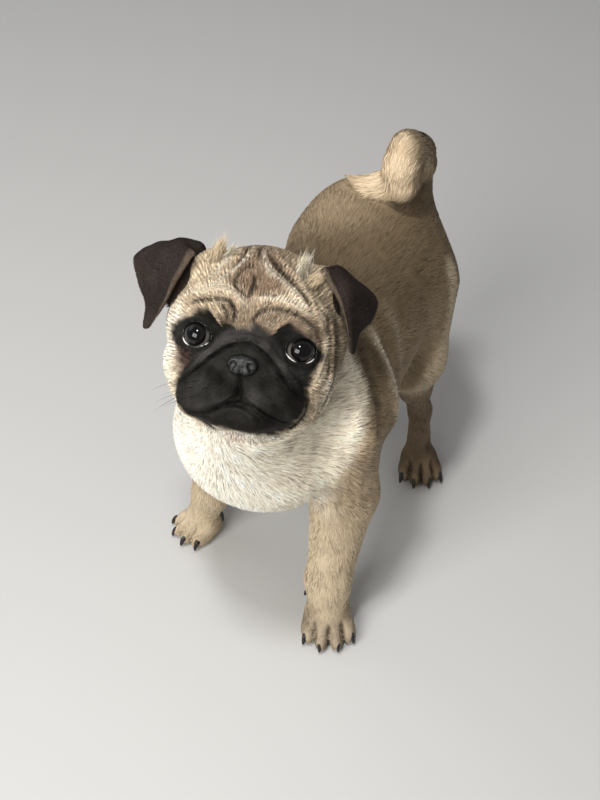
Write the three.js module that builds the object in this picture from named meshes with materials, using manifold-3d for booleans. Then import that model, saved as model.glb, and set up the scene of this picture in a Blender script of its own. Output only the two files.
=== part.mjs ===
// A standing young pug, about seven months old, as a still life-size model in millimetres.
// The dog faces -Y, its left side is +X, +Z is up and the floor is at z = 0.
import * as THREE from 'three';
import { mergeVertices } from 'three/addons/utils/BufferGeometryUtils.js';
import Module from 'manifold-3d';

const wasm = await Module();
wasm.setup();

// Driving dimensions
const GAP = 0.3; // between touching pieces
const GROWTH = 0.45; // how far a corner moves out so that faces stay the gap apart
const WORLD_SHIFT = [6.95, 1.31, 0]; // moves the whole dog so that its box stands over the origin

const HEAD_CENTRE = [2, -102, 299];
const HEAD_TURN = 24.2; // degrees to the dog's left
const HEAD_LIFT = 42; // degrees, nose up
const HEAD_ROLL = 4.0; // degrees, left side down

// In the head's frame: x to the dog's left, -y out through the nose, z up through the crown
const EYE_RADIUS = 11;
const EYE_PLACE = [34.2, -35.5, 5]; // the left eye; the right one mirrors it
const EYE_GAZE = [0.3, -0.95, 0.05];
const EYE_OPENING = [10.2, 9]; // half width and half height between the lids
const LID_THICKNESS = 2.1;
const NOSE_PLACE = [0, -57.5, -8];
const NOSE_RADII = [8.4, 8, 6.8];
const NOSTRIL_PLACE = [4.9, -66, -8.4];
const NOSTRIL_RADII = [2.3, 5, 3];
const MOUTH_LINE = [[39, -47], [29, -47], [19, -43], [8, -36.5], [0, -33]]; // x and z, from the left corner
const PHILTRUM = [[0, -15], [0, -24], [0, -33]];
const MOUTH_GROOVE = 1.8;

const EAR_THICKNESS = 2.6;
// Rows from the root, over the fold and down to the tip; each row runs from front to back.
// Both ears are written as on the left side, and the right one is mirrored.
const EAR_ROWS = {
  left: [
    [[54, -6, 28], [41, -3, 50], [43, 7, 51], [46, 17, 44]],
    [[54, -15, 42], [45, -6, 62], [52.5, 5, 59.5], [59, 15, 50]],
    [[39, -19, 61], [53, -13, 63], [67, 0, 56], [79, 8, 47.5]],
    [[54.5, -22, 42], [62, -20, 45.5], [71, -12, 41], [79.5, -1, 34]],
    [[63.5, -22, 24], [66, -21.5, 25], [69.5, -17, 24.5], [72, -10, 22.5]],
    [[68, -20, 8.5], [69, -20.5, 7.5], [70, -19.5, 7.5], [70.7, -17.5, 8.5]],
  ],
  right: [
    [[61, -9, 19], [43, -3, 50], [45, 7, 51], [48, 17, 45]],
    [[65, -14, 30], [48, -6, 65], [58, 5, 64.5], [67.5, 16, 55.5]],
    [[50, -20, 60], [63, -13, 64], [80, 0, 61.5], [94.5, 8, 53.5]],
    [[62.5, -22, 38.5], [70, -20, 42], [80, -12, 41], [89, -1, 35]],
    [[69, -22, 19.8], [72, -21.5, 20.8], [75.5, -17, 20.5], [78.5, -10, 19]],
    [[73, -20, 4], [74.5, -20.5, 3], [76, -19.5, 3], [77.5, -17.5, 4]],
  ],
};

const CELL = { neck: 14, torso: 15, tail: 7.2, leg: 10.6, paw: 5.5, nose: 3.2 };
// The head's mesh is finer over the face: cell widths inside and outside these limits
const FACE = { fine: [5.8, 6, 5.6], coarse: [9.5, 11, 9.5], low: [-48, -60, -60], high: [48, -18, 40] };

// Small vector helpers
const add = (a, b) => [a[0] + b[0], a[1] + b[1], a[2] + b[2]];
const sub = (a, b) => [a[0] - b[0], a[1] - b[1], a[2] - b[2]];
const scale = (a, s) => [a[0] * s, a[1] * s, a[2] * s];
const dot = (a, b) => a[0] * b[0] + a[1] * b[1] + a[2] * b[2];
const length = (a) => Math.hypot(a[0], a[1], a[2]);
const unit = (a) => scale(a, 1 / length(a));
const cross = (a, b) => [a[1] * b[2] - a[2] * b[1], a[2] * b[0] - a[0] * b[2], a[0] * b[1] - a[1] * b[0]];
const mix = (a, b, t) => add(scale(a, 1 - t), scale(b, t));
const radians = (d) => (d * Math.PI) / 180;
const clamp = (v, lo, hi) => Math.min(hi, Math.max(lo, v));

// Distance fields: each takes a point and gives the distance to its surface, negative inside
const ball = (centre, radii) => (p) => {
  const q = sub(p, centre);
  const a = Math.hypot(q[0] / radii[0], q[1] / radii[1], q[2] / radii[2]);
  const b = Math.hypot(q[0] / radii[0] ** 2, q[1] / radii[1] ** 2, q[2] / radii[2] ** 2);
  return b < 1e-9 ? -Math.min(...radii) : (a * (a - 1)) / b;
};

const limb = (a, b, ra, rb) => {
  const ab = sub(b, a);
  const full = dot(ab, ab);
  return (p) => {
    const t = clamp(dot(sub(p, a), ab) / full, 0, 1);
    return length(sub(p, add(a, scale(ab, t)))) - (ra + (rb - ra) * t);
  };
};

const chain = (points, radii) =>
  points.slice(1).map((point, i) => limb(points[i], point, radii[i], radii[i + 1]));

const blend = (soft, fields) => (p) =>
  fields.reduce((d, field) => {
    const e = field(p);
    const h = Math.max(soft - Math.abs(d - e), 0) / soft;
    return Math.min(d, e) - (h * h * soft) / 4;
  }, 1e9);

const carve = (soft, field, cutters) => (p) =>
  cutters.reduce((d, cutter) => {
    const e = -cutter(p);
    const h = Math.max(soft - Math.abs(d - e), 0) / soft;
    return Math.max(d, e) + (h * h * soft) / 4;
  }, field(p));

// A rigid frame: origin and rotation, with ways in and out
const frameAt = (origin, turn, lift, roll) => {
  const matrix = new THREE.Matrix4().makeRotationZ(radians(turn));
  matrix.multiply(new THREE.Matrix4().makeRotationX(radians(-lift)));
  matrix.multiply(new THREE.Matrix4().makeRotationY(radians(roll)));
  const e = matrix.elements;
  const axes = [[e[0], e[1], e[2]], [e[4], e[5], e[6]], [e[8], e[9], e[10]]];
  return {
    out: (q) => add(origin, add(scale(axes[0], q[0]), add(scale(axes[1], q[1]), scale(axes[2], q[2])))),
    into: (p) => axes.map((axis) => dot(axis, sub(p, origin))),
    axes,
  };
};

const inFrame = (frame, field) => (p) => field(frame.into(p));

const both = (make) => [make(1), make(-1)];

// The head's own shape, in the head's frame
const head = frameAt(HEAD_CENTRE, HEAD_TURN, HEAD_LIFT, HEAD_ROLL);
const fromHead = (v) => sub(head.out(v), HEAD_CENTRE);

const mirror = (p, side) => [p[0] * side, p[1], p[2]];

const skull = () => [
  ball([0, 8, 12], [61, 54, 62]),
  ...both((s) => ball([35 * s, -6, -16], [25.5, 36, 33])),
  ...both((s) => ball([25 * s, -33, 27], [25, 16, 18])),
  ...both((s) => ball([41 * s, -26, -13], [17, 15, 17])),
  ...both((s) => ball([45 * s, -4, 13], [19.5, 24, 22])),
  ...both((s) => ball([42 * s, 1, 51], [16, 14, 14.5])),
];

const muzzle = () => [
  ball([0, -42, -10], [25, 20, 22]),
  ...both((s) => ball([21 * s, -45, -26], [21, 20, 19])),
  ...both((s) => ball([31 * s, -38, -36], [14, 18, 15])),
  ball([0, -45, -43], [28, 18, 12.5]),
  ball([0, -28, -38], [34, 22, 15]),
];

const foldOverNose = () =>
  both((s) => chain(
    [[33, -45, -24], [24, -50, -9], [12, -53, 3], [0, -54, 6]].map((p) => mirror(p, s)),
    [4, 5, 5, 5],
  )).flat();

const headShape = inFrame(head, blend(3.5, [blend(9, skull()), blend(5, [...muzzle(), ...foldOverNose()])]));

// The trunk and neck, in the dog's frame
const neckShape = blend(16, [
  limb([0, -48, 232], head.out([0, 22, -8]), 64, 53),
  limb([-4, -96, 208], head.out([0, 0, -34]), 58, 44),
]);

const torsoShape = blend(22, [
  ball([0, -60, 200], [70, 66, 78]),
  ball([-4, 0, 210], [71, 90, 70]),
  ball([-9, 62, 217], [69, 76, 68]),
  ball([-13, 111, 218], [65, 60, 69]),
  ball([-20, 113, 231], [60, 57, 61]),
  ball([-4, -100, 196], [60, 40, 58]),
  ball([57, -27, 205], [24, 26, 38]),
]);

const LEGS = {
  front_left: {
    joints: [[48, -66, 205], [57, -60, 136], [59, -84, 50], [64, -92, 16]],
    radii: [38, 28.5, 19.5, 17.5], paw: [67.5, -98], paw_size: 1.12, toe_out: 32, dewclaw: -1,
  },
  front_right: {
    joints: [[-48, -62, 205], [-62, -46, 136], [-77, -53, 50], [-82, -60, 16]],
    radii: [38, 28, 17, 15.5], paw: [-85, -66], paw_size: 0.97, toe_out: -24, dewclaw: 1,
  },
  hind_left: {
    joints: [[20, 108, 212], [39, 85, 158], [40, 100, 108], [41, 115, 66], [48, 106, 16]],
    radii: [46, 32, 15.5, 10.8, 12.8], paw: [53, 100], paw_size: 1, toe_out: 32,
  },
  hind_right: {
    joints: [[-46, 108, 212], [-62, 92, 156], [-64, 126, 106], [-64, 148, 68], [-64, 132, 16]],
    radii: [46, 33, 20, 12.5, 13], paw: [-65, 124], paw_size: 1, toe_out: -12,
  },
};

const legShape = (leg) => blend(10, chain(leg.joints, leg.radii));

// Each toe: x, y and the angle it fans out by, in the paw's frame, with the claws pointing to -y
const TOES = [[-14.5, -4, -22], [-5.6, -10.5, -7], [5.6, -10.5, 7], [14.5, -4, 22]];
const TOE_RADII = [6.4, 12, 9];
const TOE_HEIGHT = 8;
const PAW_TOP = 38; // where the paw is parted from the leg
const CLAW_LENGTH = 5.5;
const DEWCLAW_HEIGHT = 30;
const CLAW_RADIUS = 3;
const CLAW_START = 7; // from the toe's centre

const pawFrame = (leg) => frameAt([...leg.paw, 0], leg.toe_out, 0, 0);
const pawShape = (leg) => {
  const size = leg.paw_size;
  return inFrame(pawFrame(leg), blend(4, [
    ball([0, 7, 12], scale([17.5, 17, 15], size)),
    blend(1.5, TOES.map(([x, y]) => ball([x * size, y * size, TOE_HEIGHT], scale(TOE_RADII, size)))),
  ]));
};

const TAIL = [
  [1, 148, 258], [1, 148, 284], [5, 146, 306], [8.5, 132, 328], [8, 117, 339],
  [8, 109, 328], [9, 108.5, 314], [-5, 108, 304.5], [-16, 106, 299.5], [-27, 105, 299], [-37, 103.5, 303],
];
const TAIL_RADII = [17.5, 14.5, 14.5, 15, 15.5, 16.5, 15.3, 12.2, 9.3, 5.7, 2];
const tailShape = blend(6, chain(TAIL, TAIL_RADII));

const trunkShape = blend(12, [
  blend(20, [torsoShape, neckShape]),
  headShape,
  ...Object.values(LEGS).map((leg) => blend(8, [legShape(leg), pawShape(leg)])),
]);
const tailRootShape = blend(14, [trunkShape, limb(TAIL[0], TAIL[1], TAIL_RADII[0], TAIL_RADII[1])]);

const noseShape = inFrame(head, carve(1.5, blend(3, [
  ball(NOSE_PLACE, NOSE_RADII),
  ...both((s) => ball([5.6 * s, -58.5, -9.5], [4.4, 7, 5.4])),
]), both((s) => ball(mirror(NOSTRIL_PLACE, s), NOSTRIL_RADII))));

// Polygoniser: one vertex in each cell that the surface crosses, drawn onto the surface.
// The grid's lines are three lists of coordinates.
const netOf = (field, lines) => {
  const count = lines.map((line) => line.length);
  const at = (i, j, k) => [lines[0][i], lines[1][j], lines[2][k]];
  const values = new Float64Array(count[0] * count[1] * count[2]);
  const index = (i, j, k) => (k * count[1] + j) * count[0] + i;
  for (let k = 0; k < count[2]; k++) {
    for (let j = 0; j < count[1]; j++) {
      for (let i = 0; i < count[0]; i++) values[index(i, j, k)] = field(at(i, j, k));
    }
  }
  const points = [];
  const cellPoint = new Int32Array(values.length).fill(-1);
  for (let k = 0; k < count[2] - 1; k++) {
    for (let j = 0; j < count[1] - 1; j++) {
      for (let i = 0; i < count[0] - 1; i++) {
        const point = cellCentre(values, index, at, i, j, k);
        if (!point) continue;
        const size = Math.min(...sub(at(i + 1, j + 1, k + 1), at(i, j, k)));
        cellPoint[index(i, j, k)] = points.length;
        points.push(ontoSurface(field, point, size));
      }
    }
  }
  return { points, triangles: netFaces(values, index, cellPoint, points, count) };
};

const evenLine = (low, high, cell) => {
  const steps = Math.ceil((high - low) / cell);
  return Array.from({ length: steps + 1 }, (_, i) => low + ((high - low) * i) / steps);
};
const mixedLine = (low, fineLow, fineHigh, high, fine, coarse) => [
  ...evenLine(low, fineLow, coarse).slice(0, -1),
  ...evenLine(fineLow, fineHigh, fine),
  ...evenLine(fineHigh, high, coarse).slice(1),
];

const CORNERS = [
  [0, 0, 0], [1, 0, 0], [0, 1, 0], [1, 1, 0], [0, 0, 1], [1, 0, 1], [0, 1, 1], [1, 1, 1],
];
const EDGES = [
  [0, 1], [2, 3], [4, 5], [6, 7], [0, 2], [1, 3], [4, 6], [5, 7], [0, 4], [1, 5], [2, 6], [3, 7],
];

const cellCentre = (values, index, at, i, j, k) => {
  const v = CORNERS.map((c) => values[index(i + c[0], j + c[1], k + c[2])]);
  const inside = v.filter((x) => x < 0).length;
  if (inside === 0 || inside === 8) return null;
  let sum = [0, 0, 0];
  let crossings = 0;
  for (const [a, b] of EDGES) {
    if (v[a] < 0 === v[b] < 0) continue;
    const pa = at(i + CORNERS[a][0], j + CORNERS[a][1], k + CORNERS[a][2]);
    const pb = at(i + CORNERS[b][0], j + CORNERS[b][1], k + CORNERS[b][2]);
    sum = add(sum, mix(pa, pb, v[a] / (v[a] - v[b])));
    crossings += 1;
  }
  return scale(sum, 1 / crossings);
};

const slopeOf = (field, p) => {
  const step = 0.05;
  return [0, 1, 2].map((k) => {
    const up = [...p];
    const down = [...p];
    up[k] += step;
    down[k] -= step;
    return (field(up) - field(down)) / (2 * step);
  });
};

const ontoSurface = (field, start, cell) => {
  let p = start;
  for (let pass = 0; pass < 4; pass++) {
    const slope = slopeOf(field, p);
    const steep = Math.max(dot(slope, slope), 0.1);
    p = sub(p, scale(slope, field(p) / steep));
  }
  const moved = sub(p, start);
  const limit = cell * 0.5;
  return length(moved) > limit ? add(start, scale(unit(moved), limit)) : p;
};

const netFaces = (values, index, cellPoint, points, count) => {
  const faces = [];
  const step = [[1, 0, 0], [0, 1, 0], [0, 0, 1]];
  for (let k = 1; k < count[2] - 1; k++) {
    for (let j = 1; j < count[1] - 1; j++) {
      for (let i = 1; i < count[0] - 1; i++) {
        const here = values[index(i, j, k)] < 0;
        for (let axis = 0; axis < 3; axis++) {
          const ahead = values[index(i + step[axis][0], j + step[axis][1], k + step[axis][2])] < 0;
          if (here === ahead) continue;
          const u = step[(axis + 1) % 3];
          const v = step[(axis + 2) % 3];
          const around = [[1, 1], [0, 1], [0, 0], [1, 0]].map(([a, b]) =>
            cellPoint[index(i - a * u[0] - b * v[0], j - a * u[1] - b * v[1], k - a * u[2] - b * v[2])]);
          if (!here) around.reverse();
          const [a, b, c, d] = around;
          const short = length(sub(points[a], points[c])) <= length(sub(points[b], points[d]));
          if (short) faces.push(a, b, c, a, c, d);
          else faces.push(b, c, d, b, d, a);
        }
      }
    }
  }
  return faces;
};

// Solids
const solidFrom = (positions, triangles) =>
  new wasm.Manifold(new wasm.Mesh({
    numProp: 3,
    vertProperties: Float32Array.from(positions),
    triVerts: Uint32Array.from(triangles),
  }));

const solidOf = (geometry) => {
  const bare = geometry.clone();
  bare.deleteAttribute('normal');
  bare.deleteAttribute('uv');
  const merged = mergeVertices(bare, 1e-4);
  return solidFrom(merged.attributes.position.array, merged.index.array);
};

const largest = (solid) => {
  const parts = solid.decompose();
  parts.sort((a, b) => b.volume() - a.volume());
  return parts[0];
};

// The side of a plane that its normal points to, as a big block
const BLOCK = 1200;
const sideOf = (point, normal, inset = 0) => {
  const block = new THREE.BoxGeometry(BLOCK, BLOCK, BLOCK);
  block.translate(0, 0, BLOCK / 2 + inset);
  const facing = new THREE.Vector3(...unit(normal));
  const turn = new THREE.Quaternion().setFromUnitVectors(new THREE.Vector3(0, 0, 1), facing);
  block.applyQuaternion(turn);
  block.translate(...point);
  return solidOf(block);
};
// A region is where all its planes' normals point; inset pulls every plane in
const regionOf = (planes, inset) =>
  planes.map(([point, normal]) => sideOf(point, normal, inset)).reduce((a, b) => a.intersect(b));

// A closed tube through points, with a radius at each
const tube = (points, radii, sides) => {
  const positions = [];
  let side = [0, 0, 1];
  points.forEach((point, i) => {
    const along = unit(sub(points[Math.min(i + 1, points.length - 1)], points[Math.max(i - 1, 0)]));
    side = unit(sub(side, scale(along, dot(side, along))));
    const other = cross(along, side);
    for (let j = 0; j < sides; j++) {
      const angle = (2 * Math.PI * j) / sides;
      const spoke = add(scale(side, Math.cos(angle)), scale(other, Math.sin(angle)));
      positions.push(...add(point, scale(spoke, radii[i])));
    }
  });
  const triangles = [];
  const last = points.length - 1;
  for (let i = 0; i < last; i++) {
    for (let j = 0; j < sides; j++) {
      const a = i * sides + j;
      const b = i * sides + ((j + 1) % sides);
      triangles.push(a, b, b + sides, a, b + sides, a + sides);
    }
  }
  for (let j = 1; j < sides - 1; j++) {
    triangles.push(0, j + 1, j);
    triangles.push(last * sides, last * sides + j, last * sides + j + 1);
  }
  return solidFrom(positions, triangles);
};

// The same solid with every corner moved outward, to leave a gap round it
const grown = (solid, amount) => {
  const mesh = solid.getMesh();
  const geometry = new THREE.BufferGeometry();
  geometry.setAttribute('position', new THREE.BufferAttribute(new Float32Array(mesh.vertProperties), 3));
  geometry.setIndex(new THREE.BufferAttribute(new Uint32Array(mesh.triVerts), 1));
  geometry.computeVertexNormals();
  const moved = Array.from(mesh.vertProperties, (v, i) => v + geometry.attributes.normal.array[i] * amount);
  return solidFrom(moved, mesh.triVerts);
};

const PLANES = {
  head: [[head.out([0, 15, -19]), fromHead([0, -0.79, 0.61])]],
  neck: [[[0, -75, 238], [0, -0.62, 0.78]]],
  tail: [[[1, 149, 289], [0, 0.5, 0.87]], [[0, 128, 0], [0, 1, 0]]],
  front_left: [[[26, -70, 116], [0.62, 0, -0.78]], [[0, 8, 0], [0, -1, 0]], [[0, 0, 0], [1, 0, 0]]],
  front_right: [[[-26, -60, 116], [-0.62, 0, -0.78]], [[0, 8, 0], [0, -1, 0]], [[0, 0, 0], [-1, 0, 0]]],
  hind_left: [[[22, 96, 134], [0.7, -0.1, -0.7]], [[0, 8, 0], [0, 1, 0]], [[0, 0, 0], [1, 0, 0]]],
  hind_right: [[[-34, 104, 134], [-0.7, -0.1, -0.7]], [[0, 8, 0], [0, 1, 0]], [[0, 0, 0], [-1, 0, 0]]],
};
const FLOOR = [[0, 0, 0], [0, 0, 1]];

// A rough piece of a field inside a box, to be cut to its exact limits afterwards
const insideBox = (low, high) => (p) =>
  Math.max(...[0, 1, 2].map((k) => Math.max(low[k] - p[k], p[k] - high[k])));
const roughPiece = (field, low, high, cell) => {
  const inside = insideBox(low, high);
  const lines = [0, 1, 2].map((k) => evenLine(low[k] - cell, high[k] + cell, cell));
  const net = netOf((p) => Math.max(field(p), inside(p)), lines);
  return solidFrom(net.points.flat(), net.triangles);
};

const makeTorso = () => {
  let torso = roughPiece(tailRootShape, [-110, -170, 84], [100, 190, 318], CELL.torso);
  for (const name of ['neck', 'front_left', 'front_right', 'hind_left', 'hind_right', 'tail']) {
    torso = torso.subtract(regionOf(PLANES[name], -GAP / 2));
  }
  return largest(torso);
};

const makeNeck = () => {
  const rough = roughPiece(trunkShape, [-90, -190, 150], [100, 30, 330], CELL.neck);
  return largest(rough.intersect(regionOf(PLANES.neck, GAP / 2)).subtract(regionOf(PLANES.head, -GAP / 2)));
};

// The tail's end lies on the back, so the back is cut out of it
const makeTail = (torso) => {
  const [[point, normal], behind] = PLANES.tail;
  const below = regionOf([[point, scale(normal, -1)], behind], -GAP / 2);
  const rough = roughPiece(tailShape, [-60, 80, 240], [50, 190, 370], CELL.tail);
  return largest(rough.subtract(below).subtract(torso.translate([0, 0, GAP])));
};

const makeLeg = (name) => {
  const leg = LEGS[name];
  const reach = Math.max(...leg.radii) + 14;
  const low = [0, 1, 2].map((k) => Math.min(...leg.joints.map((j) => j[k])) - reach);
  const high = [0, 1, 2].map((k) => Math.max(...leg.joints.map((j) => j[k])) + reach);
  low[2] = PAW_TOP - 4;
  high[2] = 200;
  const rough = roughPiece(trunkShape, low, high, CELL.leg);
  const cut = rough.intersect(regionOf(PLANES[name], GAP / 2));
  return largest(cut.intersect(sideOf([0, 0, PAW_TOP], [0, 0, 1], GAP / 2)));
};

const makePaw = (leg) => {
  const [x, y] = leg.paw;
  const rough = roughPiece(trunkShape, [x - 32, y - 38, -6], [x + 32, y + 34, PAW_TOP + 4], CELL.paw);
  return largest(rough.intersect(sideOf(...FLOOR)).intersect(sideOf([0, 0, PAW_TOP], [0, 0, -1], GAP / 2)));
};

const CLAW_DROP = [10.5, 9.6, 7, 3.2]; // the claw's height above the floor from its root to its tip
const CLAW_TAPER = [1, 0.96, 0.78, 0.4];
const makeClaw = (leg, [x, y, fan]) => {
  const frame = pawFrame(leg);
  const lean = [Math.sin(radians(fan)), -Math.cos(radians(fan))];
  const reach = [0, 0.35, 0.7, 1];
  const start = [x + lean[0] * CLAW_START, y + lean[1] * CLAW_START].map((v) => v * leg.paw_size);
  const points = reach.map((t, i) =>
    frame.out([start[0] + lean[0] * CLAW_LENGTH * t, start[1] + lean[1] * CLAW_LENGTH * t, CLAW_DROP[i]]));
  return tube(points, CLAW_TAPER.map((r) => r * CLAW_RADIUS), 6);
};

const makeDewclaw = (leg) => {
  const [wrist, heel] = leg.joints.slice(-2);
  const centre = mix(heel, wrist, (DEWCLAW_HEIGHT - heel[2]) / (wrist[2] - heel[2]));
  const points = [[11.5, 0, 1.5], [15, -1, 0.5], [17.5, -2, -3], [18.5, -3, -7]];
  const out = (leg.dewclaw * leg.radii.at(-1)) / 15.5;
  const placed = points.map(([x, y, z]) => add(centre, [x * out, y, z]));
  return tube(placed, CLAW_TAPER.map((r) => r * CLAW_RADIUS * 0.9), 6);
};

const makeEye = (side, spare = 0) => {
  const eye = new THREE.SphereGeometry(EYE_RADIUS + spare, 14, 9);
  eye.translate(...head.out(mirror(EYE_PLACE, side)));
  return solidOf(eye);
};

const makeOpening = (side) => {
  const cone = new THREE.CylinderGeometry(1.12, 0.92, 26, 18);
  cone.rotateX(-Math.PI / 2);
  cone.translate(0, 0, 13 + 3);
  cone.scale(EYE_OPENING[0], EYE_OPENING[1], 1);
  const gaze = new THREE.Matrix4().makeBasis(...gazeBasis(side).map((v) => new THREE.Vector3(...v)));
  cone.applyMatrix4(gaze);
  cone.translate(...head.out(mirror(EYE_PLACE, side)));
  return solidOf(cone);
};

const gazeBasis = (side) => {
  const out = unit(fromHead(mirror(EYE_GAZE, side)));
  const up = unit(sub(head.axes[2], scale(out, dot(out, head.axes[2]))));
  return [cross(up, out), up, out];
};

// The point of the face straight in from the front at x and z, in the head's frame
const onFace = ([x, z]) => {
  let [outside, inside] = [-90, -20];
  for (let pass = 0; pass < 30; pass++) {
    const middle = (outside + inside) / 2;
    if (headShape(head.out([x, middle, z])) > 0) outside = middle;
    else inside = middle;
  }
  return head.out([x, inside, z]);
};

const makeMouth = () => {
  const right = MOUTH_LINE.map(([x, z]) => [-x, z]).reverse().slice(1);
  const line = [...MOUTH_LINE, ...right].map(onFace);
  const radii = line.map((p, i) => MOUTH_GROOVE * (i === 0 || i === line.length - 1 ? 0.5 : 1));
  const groove = tube(line, radii, 6);
  const philtrum = tube(PHILTRUM.map(onFace), PHILTRUM.map(() => MOUTH_GROOVE * 0.85), 6);
  return groove.add(philtrum);
};

const HEAD_LOW = [-100, -84, -110];
const HEAD_HIGH = [100, 100, 96];
const makeHead = (nose) => {
  const lines = [0, 1, 2].map((k) => mixedLine(
    HEAD_LOW[k], FACE.low[k], FACE.high[k], HEAD_HIGH[k], FACE.fine[k], FACE.coarse[k]));
  const inside = insideBox(
    HEAD_LOW.map((v, k) => v + FACE.coarse[k]), HEAD_HIGH.map((v, k) => v - FACE.coarse[k]));
  const net = netOf((q) => Math.max(trunkShape(head.out(q)), inside(q)), lines);
  let rough = solidFrom(net.points.map(head.out).flat(), net.triangles);
  rough = rough.intersect(regionOf(PLANES.head, GAP / 2));
  for (const side of [1, -1]) {
    rough = rough.add(makeEye(side, LID_THICKNESS));
    rough = rough.subtract(makeEye(side, GAP));
    rough = rough.subtract(makeOpening(side));
  }
  return largest(rough.subtract(makeMouth()).subtract(grown(nose, GROWTH)));
};

const makeNose = () => {
  const c = head.out(NOSE_PLACE);
  return largest(roughPiece(noseShape, c.map((v) => v - 15), c.map((v) => v + 15), CELL.nose));
};

// An ear is a thin bent sheet: rows of points joined by smooth curves both ways
const EAR_STEPS = [12, 6];
const makeEar = (side, table, headSolid) => {
  const rows = table.map((row) => new THREE.CatmullRomCurve3(row.map((p) => new THREE.Vector3(...p))));
  const [rowCount, columnCount] = EAR_STEPS;
  const at = (u, v) => {
    const line = new THREE.CatmullRomCurve3(rows.map((row) => row.getPoint(v)));
    return line.getPoint(u).toArray();
  };
  const front = [];
  const back = [];
  for (let i = 0; i < rowCount; i++) {
    for (let j = 0; j < columnCount; j++) {
      const u = i / (rowCount - 1);
      const v = j / (columnCount - 1);
      const e = 0.01;
      const alongU = sub(at(Math.min(1, u + e), v), at(Math.max(0, u - e), v));
      const alongV = sub(at(u, Math.min(1, v + e)), at(u, Math.max(0, v - e)));
      const out = unit(cross(alongV, alongU));
      const edge = Math.min(v, 1 - v, 1 - u) < 0.01 ? 0.45 : 1;
      const half = (EAR_THICKNESS / 2) * edge * (1 - 0.35 * u);
      front.push(head.out(mirror(add(at(u, v), scale(out, half)), side)));
      back.push(head.out(mirror(sub(at(u, v), scale(out, half)), side)));
    }
  }
  const solid = sheetSolid(front, back, rowCount, columnCount, side);
  return largest(solid.subtract(grown(headSolid, GROWTH)));
};

const sheetSolid = (front, back, rowCount, columnCount, side) => {
  const triangles = [];
  const shift = front.length;
  const quad = (a, b, c, d) => triangles.push(a, b, c, a, c, d);
  for (let i = 0; i < rowCount - 1; i++) {
    for (let j = 0; j < columnCount - 1; j++) {
      const a = i * columnCount + j;
      const [b, c, d] = [a + 1, a + columnCount + 1, a + columnCount];
      quad(a, b, c, d);
      triangles.push(shift + a, shift + c, shift + b, shift + a, shift + d, shift + c);
    }
  }
  const rim = [];
  for (let j = 0; j < columnCount - 1; j++) rim.push(j);
  for (let i = 0; i < rowCount - 1; i++) rim.push(i * columnCount + columnCount - 1);
  for (let j = columnCount - 1; j > 0; j--) rim.push((rowCount - 1) * columnCount + j);
  for (let i = rowCount - 1; i > 0; i--) rim.push(i * columnCount);
  rim.forEach((a, i) => {
    const b = rim[(i + 1) % rim.length];
    quad(b, a, shift + a, shift + b);
  });
  if (side < 0) triangles.reverse();
  const positions = [...front, ...back].flat();
  const solid = solidFrom(positions, triangles);
  return solid.volume() > 0 ? solid : solidFrom(positions, triangles.reverse());
};

const group = new THREE.Group();
const COLOURS = {
  coat: 0xc2a583, pale: 0xe6dac8, tail: 0xcdb292, nose: 0x242021, ear: 0x2e2725, eye: 0x120c0a, claw: 0x1c1816,
};
const put = (name, solid, colour, roughness = 0.9) => {
  const mesh = solid.getMesh();
  const geometry = new THREE.BufferGeometry();
  geometry.setAttribute('position', new THREE.BufferAttribute(new Float32Array(mesh.vertProperties), 3));
  geometry.setIndex(new THREE.BufferAttribute(new Uint32Array(mesh.triVerts), 1));
  geometry.computeVertexNormals();
  const material = new THREE.MeshStandardMaterial({ color: colour, roughness, metalness: 0 });
  const made = new THREE.Mesh(geometry, material);
  made.name = name;
  group.add(made);
};

const torso = makeTorso();
put('torso', torso, COLOURS.coat);
put('neck', makeNeck(), COLOURS.pale);
put('tail', makeTail(torso), COLOURS.tail);

const nose = makeNose();
const headSolid = makeHead(nose);
put('head', headSolid, COLOURS.coat);
put('nose', nose, COLOURS.nose, 0.5);
for (const [word, side] of [['left', 1], ['right', -1]]) {
  put(`eye_${word}`, makeEye(side), COLOURS.eye, 0.1);
  put(`ear_${word}`, makeEar(side, EAR_ROWS[word], headSolid), COLOURS.ear);
}

for (const [name, leg] of Object.entries(LEGS)) {
  put(`leg_${name}`, makeLeg(name), COLOURS.coat);
  let paw = makePaw(leg);
  TOES.forEach((toe, i) => {
    const claw = makeClaw(leg, toe);
    paw = paw.subtract(grown(claw, GROWTH));
    put(`claw_${name}_${i + 1}`, claw, COLOURS.claw, 0.4);
  });
  if (leg.dewclaw) {
    const claw = makeDewclaw(leg);
    paw = paw.subtract(grown(claw, GROWTH));
    put(`dewclaw_${name}`, claw, COLOURS.claw, 0.4);
  }
  put(`paw_${name}`, largest(paw), COLOURS.coat);
}

group.position.set(...WORLD_SHIFT);

export default group;
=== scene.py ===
# A standing young pug: one skin with sculpted folds, short fur in thin tufts, eyes, nose and claws
import math

import bpy
import numpy as np
from mathutils import Matrix, Vector


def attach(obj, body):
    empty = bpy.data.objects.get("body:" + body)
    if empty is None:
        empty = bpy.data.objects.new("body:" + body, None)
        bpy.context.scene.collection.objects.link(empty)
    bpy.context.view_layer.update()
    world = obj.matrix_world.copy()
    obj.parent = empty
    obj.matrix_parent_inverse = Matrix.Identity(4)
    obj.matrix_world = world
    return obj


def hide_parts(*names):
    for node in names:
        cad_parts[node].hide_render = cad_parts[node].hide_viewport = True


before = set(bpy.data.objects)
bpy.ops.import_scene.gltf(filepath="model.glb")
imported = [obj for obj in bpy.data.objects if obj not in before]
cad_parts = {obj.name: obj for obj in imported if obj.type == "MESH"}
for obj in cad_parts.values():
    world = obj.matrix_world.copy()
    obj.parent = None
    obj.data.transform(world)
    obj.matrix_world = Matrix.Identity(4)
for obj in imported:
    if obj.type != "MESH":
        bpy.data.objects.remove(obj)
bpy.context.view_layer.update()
rng = np.random.default_rng(7)

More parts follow.
